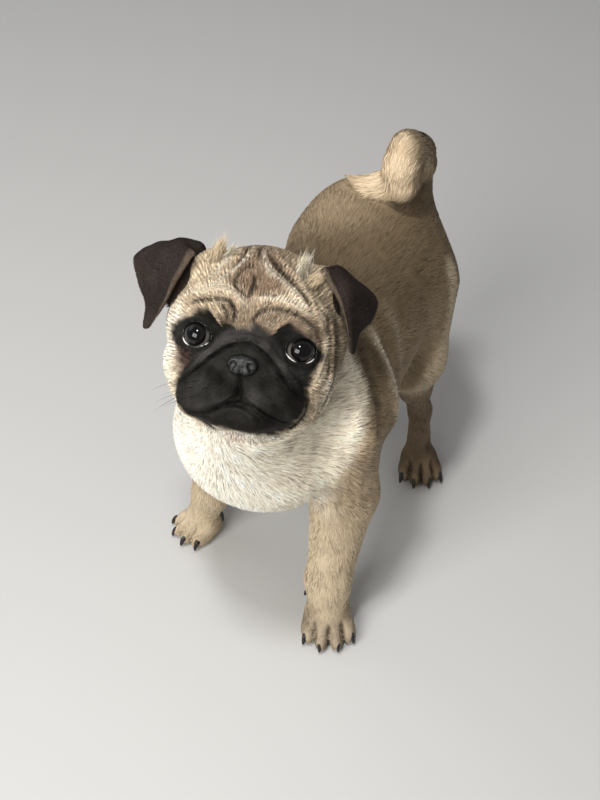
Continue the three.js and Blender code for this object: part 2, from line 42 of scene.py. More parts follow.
# Dog frame: millimetres, the dog faces -Y, its left side is +X, the floor is z = 0
SHIFT = np.array([6.95, 1.31, 0])
HEAD_CENTRE = (2, -102, 299)
HEAD_TURN = 24.2
HEAD_LIFT = 42.0
HEAD_ROLL = 4.0
EYE_RADIUS = 11
EYE_PLACE = (34.2, -35.5, 5)
EYE_GAZE = (0.3, -0.95, 0.05)
EYE_OPENING = (10.2, 9)
NOSE_PLACE = (0, -57.5, -8)
LOWEST = 0.15  # the skin's lowest point over the floor
COAT_DEPTH = 2.4
TOE_GAP_DEPTH = 2.4
BARE_ROUND_EYE = 12.6  # no hair grows nearer to the middle of an eye
FOLDS_ROUND_EYE = (12.3, 14.5)  # the folds fade out between these distances from it
FINE_HAIR = 0.42
WORDS = {1: "left", -1: "right"}


def ball(centre, radii):
    centre, radii = np.array(centre, np.float32), np.array(radii, np.float32)

    def field(p):
        q = (p - centre) / radii
        a = np.sqrt(np.einsum("ij,ij->i", q, q))
        q /= radii
        return a * (a - 1) / np.maximum(np.sqrt(np.einsum("ij,ij->i", q, q)), 1e-6)

    return field


def limb(a, b, ra, rb):
    a, b = np.array(a, np.float32), np.array(b, np.float32)
    ab = b - a
    way = ab / (ab @ ab)

    def field(p):
        q = p - a
        t = np.minimum(np.maximum(q @ way, 0), 1)
        q -= t[:, None] * ab
        return np.sqrt(np.einsum("ij,ij->i", q, q)) - (ra + np.float32(rb - ra) * t)

    return field


def chain(points, radii):
    return [limb(points[i], points[i + 1], radii[i], radii[i + 1]) for i in range(len(points) - 1)]


def blend(soft, fields):
    def field(p):
        d = fields[0](p)
        for other in fields[1:]:
            e = other(p)
            h = np.maximum(soft - np.abs(d - e), 0) / soft
            d = np.minimum(d, e) - h * h * soft / 4
        return d

    return field


def carve(soft, body, cutters):
    def field(p):
        d = body(p)
        for cutter in cutters:
            e = -cutter(p)
            h = np.maximum(soft - np.abs(d - e), 0) / soft
            d = np.maximum(d, e) + h * h * soft / 4
        return d

    return field


class Frame:
    """A place and a direction, with ways in and out"""

    def __init__(self, origin, turn, lift, roll):
        z, x, y = (math.radians(v) for v in (turn, -lift, roll))
        about_z = np.array([[math.cos(z), -math.sin(z), 0], [math.sin(z), math.cos(z), 0], [0, 0, 1]])
        about_x = np.array([[1, 0, 0], [0, math.cos(x), -math.sin(x)], [0, math.sin(x), math.cos(x)]])
        about_y = np.array([[math.cos(y), 0, math.sin(y)], [0, 1, 0], [-math.sin(y), 0, math.cos(y)]])
        self.origin = np.array(origin, float)
        self.matrix = about_z @ about_x @ about_y

    def out(self, q):
        return self.origin + np.asarray(q, float) @ self.matrix.T

    def into(self, p):
        return (p - self.origin) @ self.matrix

    def turned(self, v):
        return np.asarray(v, float) @ self.matrix.T


def away_from(p, point):
    """Each point's distance from this place"""
    return np.linalg.norm(p - np.array(point, float), axis=1)


def within(place, field):
    return lambda p: field(place.into(p))


def mirror(p, side):
    return (p[0] * side, *p[1:])


def both(make):
    return [make(1), make(-1)]


head = Frame(HEAD_CENTRE, HEAD_TURN, HEAD_LIFT, HEAD_ROLL)

SKULL = [
    ball((0, 8, 12), (61, 54, 62)),
    *both(lambda s: ball((35 * s, -6, -16), (25.5, 36, 33))),
    *both(lambda s: ball((25 * s, -33, 27), (25, 16, 18))),
    *both(lambda s: ball((41 * s, -26, -13), (17, 15, 17))),
    *both(lambda s: ball((45 * s, -4, 13), (19.5, 24, 22))),
    *both(lambda s: ball((42 * s, 1, 51), (16, 14, 14.5))),
]
MUZZLE = [
    ball((0, -42, -10), (25, 20, 22)),
    *both(lambda s: ball((21 * s, -45, -26), (21, 20, 19))),
    *both(lambda s: ball((31 * s, -38, -36), (14, 18, 15))),
    ball((0, -45, -43), (28, 18, 12.5)),
    ball((0, -28, -38), (34, 22, 15)),
]
NOSE_FOLD = [(33, -45, -24), (24, -50, -9), (12, -53, 3), (0, -54, 6)]


def fold_over_nose():
    sides = both(lambda s: chain([mirror(p, s) for p in NOSE_FOLD], [4, 5, 5, 5]))
    return sides[0] + sides[1]


head_shape = within(head, blend(3.5, [blend(9, SKULL), blend(5, [*MUZZLE, *fold_over_nose()])]))

neck_shape = blend(16, [
    limb((0, -48, 232), head.out((0, 22, -8)), 64, 53),
    limb((-4, -96, 208), head.out((0, 0, -34)), 58, 44),
])
torso_shape = blend(22, [
    ball((0, -60, 200), (70, 66, 78)),
    ball((-4, 0, 210), (71, 90, 70)),
    ball((-9, 62, 217), (69, 76, 68)),
    ball((-13, 111, 218), (65, 60, 69)),
    ball((-20, 113, 231), (60, 57, 61)),
    ball((-4, -100, 196), (60, 40, 58)),
    ball((57, -27, 205), (24, 26, 38)),
])

LEGS = {
    "front_left": dict(
        joints=[(48, -66, 205), (57, -60, 136), (59, -84, 50), (64, -92, 16)],
        radii=[38, 28.5, 19.5, 17.5], paw=(67.5, -98), paw_size=1.12, toe_out=32, dewclaw=-1),
    "front_right": dict(
        joints=[(-48, -62, 205), (-62, -46, 136), (-77, -53, 50), (-82, -60, 16)],
        radii=[38, 28, 17, 15.5], paw=(-85, -66), paw_size=0.97, toe_out=-24, dewclaw=1),
    "hind_left": dict(
        joints=[(20, 108, 212), (39, 85, 158), (40, 100, 108), (41, 115, 66), (48, 106, 16)],
        radii=[46, 32, 15.5, 10.8, 12.8], paw=(53, 100), paw_size=1, toe_out=32, dewclaw=0),
    "hind_right": dict(
        joints=[(-46, 108, 212), (-62, 92, 156), (-64, 126, 106), (-64, 148, 68), (-64, 132, 16)],
        radii=[46, 33, 20, 12.5, 13], paw=(-65, 124), paw_size=1, toe_out=-12, dewclaw=0),
}
# Each toe: x, y and the angle it fans out by, in the paw's frame, with the claws pointing to -y
TOES = [(-14.5, -4, -22), (-5.6, -10.5, -7), (5.6, -10.5, 7), (14.5, -4, 22)]
TOE_RADII = (6.4, 12, 9)
TOE_HEIGHT = 8


def paw_frame(leg):
    return Frame((*leg["paw"], 0), leg["toe_out"], 0, 0)


def paw_shape(leg):
    size = leg["paw_size"]
    toes = [ball((x * size, y * size, TOE_HEIGHT), [r * size for r in TOE_RADII]) for x, y, _ in TOES]
    pad = ball((0, 7, 12), [r * size for r in (17.5, 17, 15)])
    return within(paw_frame(leg), blend(4, [pad, blend(1.5, toes)]))


def leg_shape(leg):
    return blend(8, [blend(10, chain(leg["joints"], leg["radii"])), paw_shape(leg)])


TAIL = [
    (1, 148, 258), (1, 148, 284), (5, 146, 306), (8.5, 132, 328), (8, 117, 339),
    (8, 109, 328), (9, 108.5, 314), (-5, 108, 304.5), (-16, 106, 299.5), (-27, 105, 299), (-37, 103.5, 303),
]
TAIL_RADII = [17.5, 14.5, 14.5, 15, 15.5, 16.5, 15.3, 12.2, 9.3, 5.7, 2]

trunk_shape = blend(12, [
    blend(20, [torso_shape, neck_shape]),
    head_shape,
    *[leg_shape(leg) for leg in LEGS.values()],
])
tail_root = limb(TAIL[0], TAIL[1], TAIL_RADII[0], TAIL_RADII[1])
tail_shape = blend(6, chain(TAIL, TAIL_RADII))


# Skin: the trunk with its lids and eye openings, meshed on a grid that is finer over the face
def gaze_frame(side):
    """The eye's centre and its axes: to the left, up and out, as the columns of a matrix"""
    out = head.turned(mirror(EYE_GAZE, side))
    out /= np.linalg.norm(out)
    up = head.matrix[:, 2] - out * (head.matrix[:, 2] @ out)
    up /= np.linalg.norm(up)
    return head.out(mirror(EYE_PLACE, side)), np.stack([np.cross(up, out), up, out], 1)


def eye_opening(side):
    """An almond-shaped opening in front of the eye"""
    centre, axes = gaze_frame(side)

    def field(p):
        q = (p - centre) @ axes
        wide = np.abs(q[:, 0]) / (EYE_OPENING[0] + 0.9)
        tall = np.abs(q[:, 1]) / EYE_OPENING[1]
        return np.maximum((np.power(wide ** 1.7 + tall ** 2.2, 0.5) - 1) * EYE_OPENING[1], 2 - q[:, 2])

    return field


LID = 1.9
lids = both(lambda s: ball(head.out(mirror(EYE_PLACE, s)), [EYE_RADIUS + LID] * 3))
eye_holes = both(lambda s: ball(head.out(mirror(EYE_PLACE, s)), [EYE_RADIUS + 0.1] * 3))
body_shape = blend(6, [blend(14, [trunk_shape, tail_root]), tail_shape])
lidded_shape = blend(2.5, [body_shape, *lids])
skin_shape = carve(0.8, lidded_shape, [*eye_holes, *both(eye_opening)])


def grid_line(stops, steps):
    """Grid places from the first stop to the last, with this step from each stop to the next"""
    places = [np.arange(low, high, (high - low) / round((high - low) / step))[:round((high - low) / step)]
              for low, high, step in zip(stops, stops[1:], steps)]
    return np.concatenate([*places, [stops[-1]]])


def sampled(field, lines, block=8):
    """Values on the grid; a block far from the surface gets one rough value"""
    values = np.empty([len(line) for line in lines], np.float32)
    starts = [range(0, len(line), block) for line in lines]
    places = [(i, j, k) for i in starts[0] for j in starts[1] for k in starts[2]]
    parts = [[line[s:s + block] for line, s in zip(lines, place)] for place in places]
    low = np.array([[axis[0] for axis in part] for part in parts])
    high = np.array([[axis[-1] for axis in part] for part in parts])
    rough = field(((low + high) / 2).astype(np.float32))
    reach = np.linalg.norm(high - low, axis=1) / 2
    for place, part, value, far in zip(places, parts, rough, reach):
        corner = tuple(slice(s, s + block) for s in place)
        if abs(value) > far * 1.25 + 4:
            values[corner] = value
            continue
        x, y, z = np.meshgrid(*part, indexing="ij")
        points = np.stack([x.ravel(), y.ravel(), z.ravel()], 1).astype(np.float32)
        values[corner] = field(points).reshape(x.shape)
    return values


def surface_net(values, lines):
    """One vertex in each cell that the surface crosses, and a quad round each crossed edge"""
    inside = values < 0
    count = np.zeros([n - 1 for n in values.shape], np.uint8)
    corners = [(a, b, c) for a in (0, 1) for b in (0, 1) for c in (0, 1)]
    size = count.shape
    for a, b, c in corners:
        count += inside[a:a + size[0], b:b + size[1], c:c + size[2]]
    cells = np.argwhere((count > 0) & (count < 8))
    number = np.full(size, -1, np.int64)
    number[tuple(cells.T)] = np.arange(len(cells))
    total, hits = np.zeros((len(cells), 3)), np.zeros(len(cells))
    for axis in range(3):
        step = np.eye(3, dtype=int)[axis]
        for corner in corners:
            if corner[axis]:
                continue
            low = cells + corner
            high = low + step
            a, b = values[tuple(low.T)], values[tuple(high.T)]
            crossed = (a < 0) != (b < 0)
            t = np.where(crossed, a / np.where(crossed, a - b, 1), 0)
            point = np.stack([lines[k][low[:, k]] for k in range(3)], 1)
            point[:, axis] += t * (lines[axis][high[:, axis]] - lines[axis][low[:, axis]])
            total += point * crossed[:, None]
            hits += crossed
    faces = []
    for axis in range(3):
        step, u, v = (np.eye(3, dtype=int)[(axis + k) % 3] for k in range(3))
        low = [slice(0, n - 1) if k == axis else slice(1, n - 1) for k, n in enumerate(values.shape)]
        high = [slice(1, n) if k == axis else slice(1, n - 1) for k, n in enumerate(values.shape)]
        start = inside[tuple(low)]
        at = np.argwhere(start != inside[tuple(high)]) + (1 - step)
        here = inside[tuple(at.T)]
        around = [number[tuple((at - a * u - b * v).T)] for a, b in ((1, 1), (0, 1), (0, 0), (1, 0))]
        quads = np.stack(around, 1)
        quads[~here] = quads[~here][:, ::-1]
        faces.append(quads)
    return total / hits[:, None], np.concatenate(faces)


def slope(field, p, here, step=0.06):
    """The field's gradient, from its values here and a step along each axis"""
    return np.stack([(field(p + np.eye(3)[axis] * step) - here) / step for axis in range(3)], 1)


def onto(field, p, passes, limit):
    """Points drawn onto the field's surface, moved no further than the limit"""
    start = p
    for _ in range(passes):
        here = field(p)
        g = slope(field, p, here)
        p = p - g * (here / np.maximum(np.einsum("ij,ij->i", g, g), 0.1))[:, None]
    moved = p - start
    far = np.linalg.norm(moved, axis=1, keepdims=True)
    return start + moved * np.minimum(1, limit / np.maximum(far, 1e-9))


def unit(v):
    return v / np.maximum(np.linalg.norm(v, axis=1, keepdims=True), 1e-9)


def smooth(low, high, v):
    t = np.clip((v - low) / (high - low), 0, 1)
    return t * t * (3 - 2 * t)


def ripple(p, size, seed):
    """Soft noise between about -1 and 1, with waves about this many millimetres long"""
    draw = np.random.default_rng(seed)
    total = np.zeros(len(p))
    for _ in range(7):
        way = draw.normal(size=3)
        way *= 2 * math.pi / (size * draw.uniform(0.6, 1.6) * np.linalg.norm(way))
        total += np.sin(p @ way + draw.uniform(0, 6.3))
    return total / 3.2


def vertex_normals(points, quads):
    a, b, c, d = (points[quads[:, k]] for k in range(4))
    face = np.cross(c - a, d - b)
    total = np.zeros_like(points)
    for k in range(4):
        for axis in range(3):
            total[:, axis] += np.bincount(quads[:, k], face[:, axis], len(points))
    return unit(total)


LINES = [
    grid_line([-122, -44, 62, 104], [2.3, 1.35, 2.3]),
    grid_line([-190, -180, -92, 184], [3, 1.35, 2.6]),
    grid_line([-6, 24, 246, 364, 372], [1.6, 3, 1.35, 3]),
]
skin_points, skin_quads = surface_net(sampled(lambda p: np.maximum(skin_shape(p), -p[:, 2]), LINES), LINES)
floor_side = skin_points[:, 2] < 1.5
skin_points = np.where(floor_side[:, None], skin_points, onto(skin_shape, skin_points, 2, 1.2))
skin_points[:, 2] = np.maximum(skin_points[:, 2], LOWEST)

# Strokes on the face, each a line of (x, z) in the head's frame seen from in front:
# how far it stands out in millimetres, its half width, and how much painted shade it lays in its crease
# (below zero, a paler ridge that is partly painted light).
# Picked by eye on the photograph, converted by a scratch script, and some then changed by hand
BROW_RIGHT = [
    (-47.5, 23.5), (-42, 26.5), (-35.1, 29.1), (-28.4, 30.7), (-20.7, 32.5), (-15.9, 31.5), (-13, 28.3),
    (-11.5, 23.4), (-11.6, 18.3), (-13.5, 13.9),
]
BROW_LEFT = [
    (0.6, 15.7), (0.9, 20.6), (2.2, 24.7), (6, 28.7), (11.7, 30.5), (18.5, 31), (25.4, 30.2), (31.5, 28.2),
    (37.6, 25.3), (42.7, 22.2), (48.7, 12.4),
]
# The crease under the fold over the nose goes on as the crease round the muzzle
FOLD_CREASE = [
    (-42, -27), (-35.5, -20), (-29.4, -14.5), (-22.3, -7), (-13.8, 0), (-4, 4.4), (5, 4.8), (12.5, 0.8),
    (19.3, -5.6), (26.8, -12.4), (34, -18.5), (41.5, -25),
]
MUZZLE_CREASE = [
    (-43.5, -25), (-46.6, -31), (-45.2, -38.6), (-40.4, -46), (-33, -53), (-25, -56.2), (-14.5, -56.8),
    (-4.2, -56), (7.8, -56), (20, -56), (30, -54), (39.5, -45.5), (44.2, -38.6), (46.4, -31.9), (46, -25.5),
    (43.6, -19),
]
MOUTH = [
    (-36, -45), (-29, -47.5), (-22, -46.2), (-16.8, -43.2), (-11.1, -38.3), (-5.7, -34.2), (-1.5, -32.2),
    (3.1, -32.2), (10.1, -34.8), (18, -39.6), (25, -42.6), (33, -44.6), (38, -43),
]
STROKES = [
    (BROW_RIGHT, -2.8, 1.6, 1.2),
    (BROW_LEFT, -2.8, 1.6, 1.2),
    ([(-21.9, 28.7), (-17.4, 24.6), (-15.4, 20.1), (-15.8, 15.2)], -1.6, 1.4, 0.8),
    ([(11.7, 17.4), (12.1, 21.4), (15.4, 25.7), (20.3, 28.9)], -1.2, 1.4, 0.45),
    ([(-52, 30), (-43, 33), (-33.7, 35.7), (-26.5, 38.7), (-20.5, 39.6), (-13.3, 36.8), (-8.3, 32.8),
      (-4.7, 27.5)], 1.3, 2.6, -0.5),
    ([(-0.1, 34), (7.8, 35.2), (16.5, 36.5), (24.4, 35.8), (32, 32.5), (41, 28.5)], 1.3, 2.6, -0.55),
    # the middle of the forehead, then the ridges and creases that fan out over it
    ([(-4.3, 51.9), (-2.8, 45.4), (-3.4, 38.9), (-4.5, 35.3)], -2.8, 1.6, 1.2),
    ([(-7.4, 60.2), (-11.9, 54.5), (-16.2, 49.8), (-17.4, 45.1), (-14.3, 41.1), (-9.8, 37.9), (-5.1, 35.7)],
     -1.7, 1.7, 0.85),
    ([(0.6, 38.6), (6, 38.8), (11.7, 40.3), (15.2, 40)], -1.8, 1.4, 1.1),
    ([(-16, 71), (-13.7, 66.2), (-14.6, 61.8), (-17.9, 57.2), (-20.7, 52.2)], -2.2, 1.7, 1.1),
    ([(-6.4, 73), (-4.6, 65.4), (-1.2, 60.7), (3.1, 56.2)], -2.2, 1.7, 1.1),
    ([(0.5, 70), (7.7, 61.1), (13.8, 56), (20.4, 52), (26.8, 47.5), (33, 42.5), (38.2, 36), (41.2, 29.7)],
     -2.7, 2.2, 1.15),
    ([(-33.6, 68), (-29.3, 64.2), (-25.4, 60.3)], -1.6, 1.8, 0.9),
    ([(-25.1, 69), (-23.5, 62.7), (-25.9, 57.1), (-29.5, 51), (-32, 45.5), (-34.4, 40.5)], 1.5, 2.5, -0.8),
    ([(-11.6, 70), (-12.3, 61.1), (-15.5, 56), (-19.6, 50.3), (-23.7, 44.6), (-28.9, 39.3)], 1.5, 2.3, -0.75),
    ([(-2, 70), (-1, 61.2), (4.1, 55.4), (11, 51.5), (17.8, 47.1), (24.8, 42.7), (31, 38.8)], 1.9, 2.9, -0.9),
    ([(5, 71), (11, 65.2), (17, 60.2), (23.4, 55.2), (29.5, 49.5), (36, 42)], 1.2, 2.3, -0.12),
    ([(-47.3, 8.7), (-45.2, 2.7), (-38, -5), (-30, -6.8)], -0.8, 1.2, 0.1),
    ([(45.8, 10.3), (44, 3.2), (38.2, -4), (29, -5.2)], -0.8, 1.2, 0.1),
    # wet wrinkles under the right eye
    ([(-48.3, -1.6), (-44.1, -6.1), (-38.5, -7.4)], -1.2, 1.3, 0.5),
    ([(-47.4, -3.8), (-43.2, -8.5), (-38.4, -9.5)], 0.7, 1.1, -0.1),
    ([(-46.6, -5.9), (-42.5, -10.9), (-38.3, -11.4), (-32.1, -13.4)], -1.2, 1.2, 0.5),
    ([(-46, -9.2), (-41.2, -13), (-36, -13.6)], 0.7, 1.1, -0.1),
    ([(-45.3, -12.5), (-40, -15), (-33.8, -15.9)], -1.1, 1.2, 0.5),
    ([(47, -3), (41, -11), (34, -15)], -0.9, 1.3, 0.15),
    # folds down the side of the face, from the ear to the cheek
    ([(36.7, 43.4), (45.1, 34.9), (50, 28.3), (53.1, 18.8), (55.3, 9.2), (56.7, -3.8), (56, -12.1),
      (53, -20)], -2.0, 1.5, 0.8),
    ([(31, 41.1), (39.5, 34), (46.5, 26.6), (50, 17), (51.6, 6.3), (51, -4.4), (48.6, -14), (46.5, -22)],
     1.4, 2.1, -0.45),
    ([(51, 36), (56.5, 29.3), (59.6, 17.1), (60.8, 4.6), (61.1, -10), (58.5, -25), (54, -36)],
     -2.0, 4.6, 0.85),
    ([(50, -24), (51.5, -33), (49, -42)], 1.2, 2.4, -0.3),
    ([(-60, 30), (-58, 12), (-52, -6), (-49.5, -20)], -1.0, 2.2, 0.08),
    (FOLD_CREASE, -3.4, 1.7, 1.0),
    (MUZZLE_CREASE, -2.6, 1.8, 0.9),
    (MOUTH, -2.4, 1.25, 0.9),
    ([(0.3, -11.5), (-0.2, -16), (-0.2, -22.9), (0.5, -32.5)], -2.6, 1.25, 1.1),
    ([(-32, -44), (-22, -41.3), (-12, -35.4), (-3, -29.5)], 1.0, 2.0, 0),
    ([(32, -40.5), (21, -37), (11, -31.8), (3.6, -29)], 1.0, 2.0, 0),
    ([(-17, -48), (-9, -42), (-1, -38), (7, -40), (16, -45)], 1.4, 2.2, 0),
]
# Folds of loose skin where the neck meets the shoulder, through points in the dog's frame,
# picked by eye on the photograph and converted by a scratch script
# their last three numbers work as in the strokes: painted shade in the crease, below zero a paler ridge,
# partly painted light
NECK_FOLDS = [
    ([(44, -11, 269), (52, -13, 260), (62, -16, 250), (72, -22, 239), (79, -25, 224), (82, -27, 206),
      (80, -25, 187)], 2.4, 4.2, -0.75),
    ([(49, -34, 272), (56, -35, 263), (64, -38, 253), (72, -42, 239), (78, -45, 227), (82, -53, 218),
      (85, -63, 211)], -3.0, 3.4, 0.85),
    ([(48, 4, 259), (57, -1, 249), (66, -4, 235), (76, -11, 222), (80, -14, 201), (84, -23, 188)],
     -2.2, 2.6, 0.6),
    ([(52, -58, 272), (60, -60, 258), (66, -60, 245), (71, -72, 236), (71, -84, 230), (69, -96, 218)],
     2.2, 4.2, -0.6),
    ([(40, 20, 262), (54, 14, 247), (66, 8, 226), (75, 0, 206)], 1.6, 3.6, -0.2),
]


def on_face(pairs):
    """Points of the head's surface straight in from the front, in the dog's frame"""
    pairs = np.array(pairs, float)
    outside, inner = np.full(len(pairs), -90.0), np.full(len(pairs), 0.0)
    for _ in range(24):
        middle = (outside + inner) / 2
        out = head_shape(head.out(np.stack([pairs[:, 0], middle, pairs[:, 1]], 1))) > 0
        outside = np.where(out, middle, outside)
        inner = np.where(out, inner, middle)
    return head.out(np.stack([pairs[:, 0], inner, pairs[:, 1]], 1))


def resampled(points, step):
    """The same line through more points, smoothed"""
    points = np.asarray(points, float)
    along = np.concatenate([[0], np.cumsum(np.linalg.norm(np.diff(points, axis=0), axis=1))])
    at = np.linspace(0, along[-1], max(3, int(along[-1] / step) + 1))
    line = np.stack([np.interp(at, along, points[:, k]) for k in range(points.shape[1])], 1)
    for _ in range(2):
        line[1:-1] = (line[:-2] + 2 * line[1:-1] + line[2:]) / 4
    return line


def line_distance(p, line):
    """Distance to a line of points, and how far along it the nearest place is, from 0 to 1"""
    best, place = np.full(len(p), 1e9), np.zeros(len(p))
    for i in range(len(line) - 1):
        a, ab = line[i], line[i + 1] - line[i]
        t = np.clip((p - a) @ ab / (ab @ ab), 0, 1)
        d = np.linalg.norm(p - a - t[:, None] * ab, axis=1)
        near = d < best
        best = np.where(near, d, best)
        place = np.where(near, (i + t) / (len(line) - 1), place)
    return best, place


# What every fold of the face is multiplied by, in height, width and darkness
FOLD_HEIGHT, FOLD_WIDTH, FOLD_DARK = 1.5, 0.76, 1.2
FACE_LINES = [(on_face(resampled(line, 3)), height * FOLD_HEIGHT, half * FOLD_WIDTH, dark * FOLD_DARK)
              for line, height, half, dark in STROKES]
FACE_LINES += [(onto(trunk_shape, resampled(line, 5), 3, 12), *rest) for line, *rest in NECK_FOLDS]


def folds(p):
    """How far the folds move the skin out, and how much painted shade they lay in the creases (below zero,
    paler ridges, partly painted light)
    """
    height, dark = np.zeros(len(p)), np.zeros(len(p))
    near = away_from(p, HEAD_CENTRE) < 165
    q = p[near]
    up, shade = np.zeros(len(q)), np.zeros(len(q))
    for line, amount, half, depth in FACE_LINES:
        low, high = line.min(0) - half * 3, line.max(0) + half * 3
        here = ((q > low) & (q < high)).all(1)
        if not here.any():
            continue
        d, t = line_distance(q[here], line)
        fade = np.minimum(1, np.minimum(t, 1 - t) * 5 + 0.15)
        profile = np.exp(-(d / half) ** 2) * fade
        up[here] += amount * profile
        shade[here] += depth * np.exp(-(d / (half * 1.15)) ** 2) * fade
    height[near], dark[near] = up, shade
    return height, dark


TOE_GAPS = [((-11.5, -17), (-8.5, 3)), ((0, -22), (0, -1)), ((11.5, -17), (8.5, 3))]


def toe_gaps(p):
    """1 in the clefts between the toes, 0 away from them"""
    share = np.zeros(len(p))
    for leg in LEGS.values():
        place = paw_frame(leg)
        near = np.nonzero(away_from(p, place.out((0, -6, 8))) < 34)[0]
        q = place.into(p[near])[:, :2] / leg["paw_size"]
        for a, b in TOE_GAPS:
            d, _ = line_distance(q, np.array([a, b], float))
            share[near] = np.maximum(share[near], np.exp(-(d / 1.35) ** 2))
    return share * smooth(24, 17, p[:, 2])


def eye_nearness(p):
    """Distance to the nearer eye's centre"""
    return np.minimum(*both(lambda s: away_from(p, head.out(mirror(EYE_PLACE, s)))))


def head_share(p):
    q = head.into(p)
    face = smooth(-16, -34, q[:, 1]) * smooth(-62, -56, q[:, 2])
    return np.maximum(smooth(-14, 14, blend(20, [torso_shape, neck_shape])(p) - head_shape(p) - 4), face)


def tail_share(p):
    return smooth(2, 12, blend(14, [trunk_shape, tail_root])(p) - tail_shape(p)) * (p[:, 1] > 60)


def coat_depth(p):
    """How deep the coat is, so how far the skin lies inside the solids"""
    deep = np.full(len(p), COAT_DEPTH)
    q = head.into(p)
    top = head_share(p)
    face = top * smooth(-8, -40, q[:, 1])
    deep = deep * (1 - 0.45 * top)
    deep = deep * (1 - face) + 0.7 * face
    deep = np.where(eye_nearness(p) < 15, 0.15, deep)
    deep *= 0.35 + 0.65 * smooth(8, 60, p[:, 2])
    tip = smooth(45, 12, away_from(p, TAIL[-1]))
    return deep * (1 - 0.8 * tip)


normals = vertex_normals(skin_points, skin_quads)
lift, _ = folds(skin_points)
lift *= smooth(*FOLDS_ROUND_EYE, eye_nearness(skin_points))
wobble = ripple(skin_points, 26, 3) * 0.4 + ripple(skin_points, 9, 4) * 0.1
still = smooth(13, 24, eye_nearness(skin_points)) * smooth(4, 14, skin_points[:, 2])
sink = TOE_GAP_DEPTH * toe_gaps(skin_points)
skin_points = skin_points + normals * (lift + wobble * still - sink - coat_depth(skin_points))[:, None]
skin_points[:, 2] = np.maximum(skin_points[:, 2], LOWEST)
normals = vertex_normals(skin_points, skin_quads)

# Coat colours, from the place on the body
def linear(rgb):
    c = np.array(rgb, float) / 255
    return np.where(c < 0.04045, c / 12.92, ((c + 0.055) / 1.055) ** 2.4)


CREAM = linear((232, 219, 196))
WHITE = linear((250, 242, 226))
LEG_FAWN = linear((198, 181, 153))
FAWN = linear((178, 158, 130))
FLANK = linear((136, 118, 92))
SADDLE = linear((106, 90, 68))
HIND_FAWN = linear((116, 99, 77))
SHADE = linear((62, 48, 37))
TOE_SHADE = linear((40, 30, 25))
TOE_GREY = linear((106, 92, 82))
TAIL_FAWN = linear((214, 193, 162))
FACE_FAWN = linear((208, 189, 160))
FOREHEAD = linear((134, 113, 92))
CROWN = linear((196, 176, 148))
CHEEK = linear((238, 226, 206))
NAPE = linear((112, 92, 70))
MASK = linear((13, 13, 12))
MASK_SHEEN = linear((58, 56, 54))
EAR_DARK = linear((46, 38, 34))
EAR_RIM = linear((108, 94, 80))
SKIN_PINK = linear((188, 150, 140))
SORE = linear((96, 70, 64))
RUMP_PAINTED_LIGHT = linear((168, 148, 120))
FRINGE = linear((204, 187, 159))


def mixed(a, b, t):
    return a + (b - a) * np.clip(t, 0, 1)[:, None]


def layered(colour, layers):
    """The colour with each tone laid over it by its share"""
    for tone, share in layers:
        colour = mixed(colour, tone, share)
    return colour


def all_over(tone, count):
    return np.tile(tone, (count, 1))


# The mask's border seen from in front, used as angle round the muzzle's middle and distance from it,
# picked by eye on the photograph and converted by a scratch script
MASK_MIDDLE = np.array([-1.0, -16.0])
MASK_EDGE = [
    (-57, 10), (-53, 0), (-46.5, -9.5), (-42.5, -17), (-43.2, -25), (-45.2, -31), (-43.5, -38),
    (-38.5, -44.7), (-32, -51), (-24.8, -54.3), (-14.5, -55), (-4.2, -54.4), (7.8, -54.4),
    (19.2, -54.2), (28.5, -52.8),
    (38, -44), (42.6, -38), (45, -31.9), (44.6, -25.9), (43, -19), (45, -10.5), (50, 0), (50, 6), (46, 12.5),
    (40.5, 16.5), (31.6, 20.2), (25.7, 24), (17.9, 18.1), (14.1, 12.1), (5, 15.3), (-2.1, 15.8), (-9.4, 13.1),
    (-17.4, 12.7), (-20.4, 18.4), (-23.3, 23.4), (-28.8, 23.6), (-36.5, 19.1), (-46, 15.5),
]
edge = np.array(MASK_EDGE, float) - MASK_MIDDLE
edge_angle = np.arctan2(edge[:, 1], edge[:, 0])
edge_order = np.argsort(edge_angle)
edge_angle, edge_reach = edge_angle[edge_order], np.linalg.norm(edge, axis=1)[edge_order]


def mask_share(p, soft=3.0):
    """1 inside the black mask, 0 outside it"""
    q = head.into(p)
    flat = q[:, [0, 2]] - MASK_MIDDLE
    angle = np.arctan2(flat[:, 1], flat[:, 0])
    reach = np.interp(angle, edge_angle, edge_reach, period=2 * math.pi)
    ragged = ripple(p, 7, 11) * 1.1 + ripple(p, 20, 12) * 1.2
    inside = smooth(soft, -soft, np.linalg.norm(flat, axis=1) - reach + ragged)
    return inside * smooth(-8, -17, q[:, 1]) * head_share(p)


def toe_share(p):
    near = np.full(len(p), 1e9)
    for leg in LEGS.values():
        for x, y, _ in TOES:
            toe = paw_frame(leg).out((x * leg["paw_size"], y * leg["paw_size"], 9))
            near = np.minimum(near, away_from(p, toe) / leg["paw_size"])
    return smooth(24, 9, near)


def streaks(q):
    """Fine strands of lighter and darker hair that run back from the nose"""
    draw = np.random.default_rng(71)
    angle, far = np.arctan2(q[:, 0], q[:, 2] + 7), np.hypot(q[:, 0], q[:, 2] + 7)
    total = np.zeros(len(q))
    for _ in range(6):
        total += np.sin(angle * draw.uniform(110, 260) + far * draw.uniform(-1, 1) + draw.uniform(0, 6.3))
    return total / 2.6


# The pale fringe in front of the left thigh,
# picked by eye on the photograph and converted by a scratch script
FRINGE_LINE = np.array([
    (56, 111, 243), (64, 106, 227), (66, 103, 208), (67, 94, 188), (70, 80, 172), (69, 68, 160),
    (61, 65, 142),
], float)
# How far back the cream of the chest reaches, as height and y,
# picked by eye on the photograph and converted by a scratch script
CHEST_REAR = [(150, -92), (164, -95), (196, -99), (215, -95), (231, -77), (242, -60), (271, -53)]


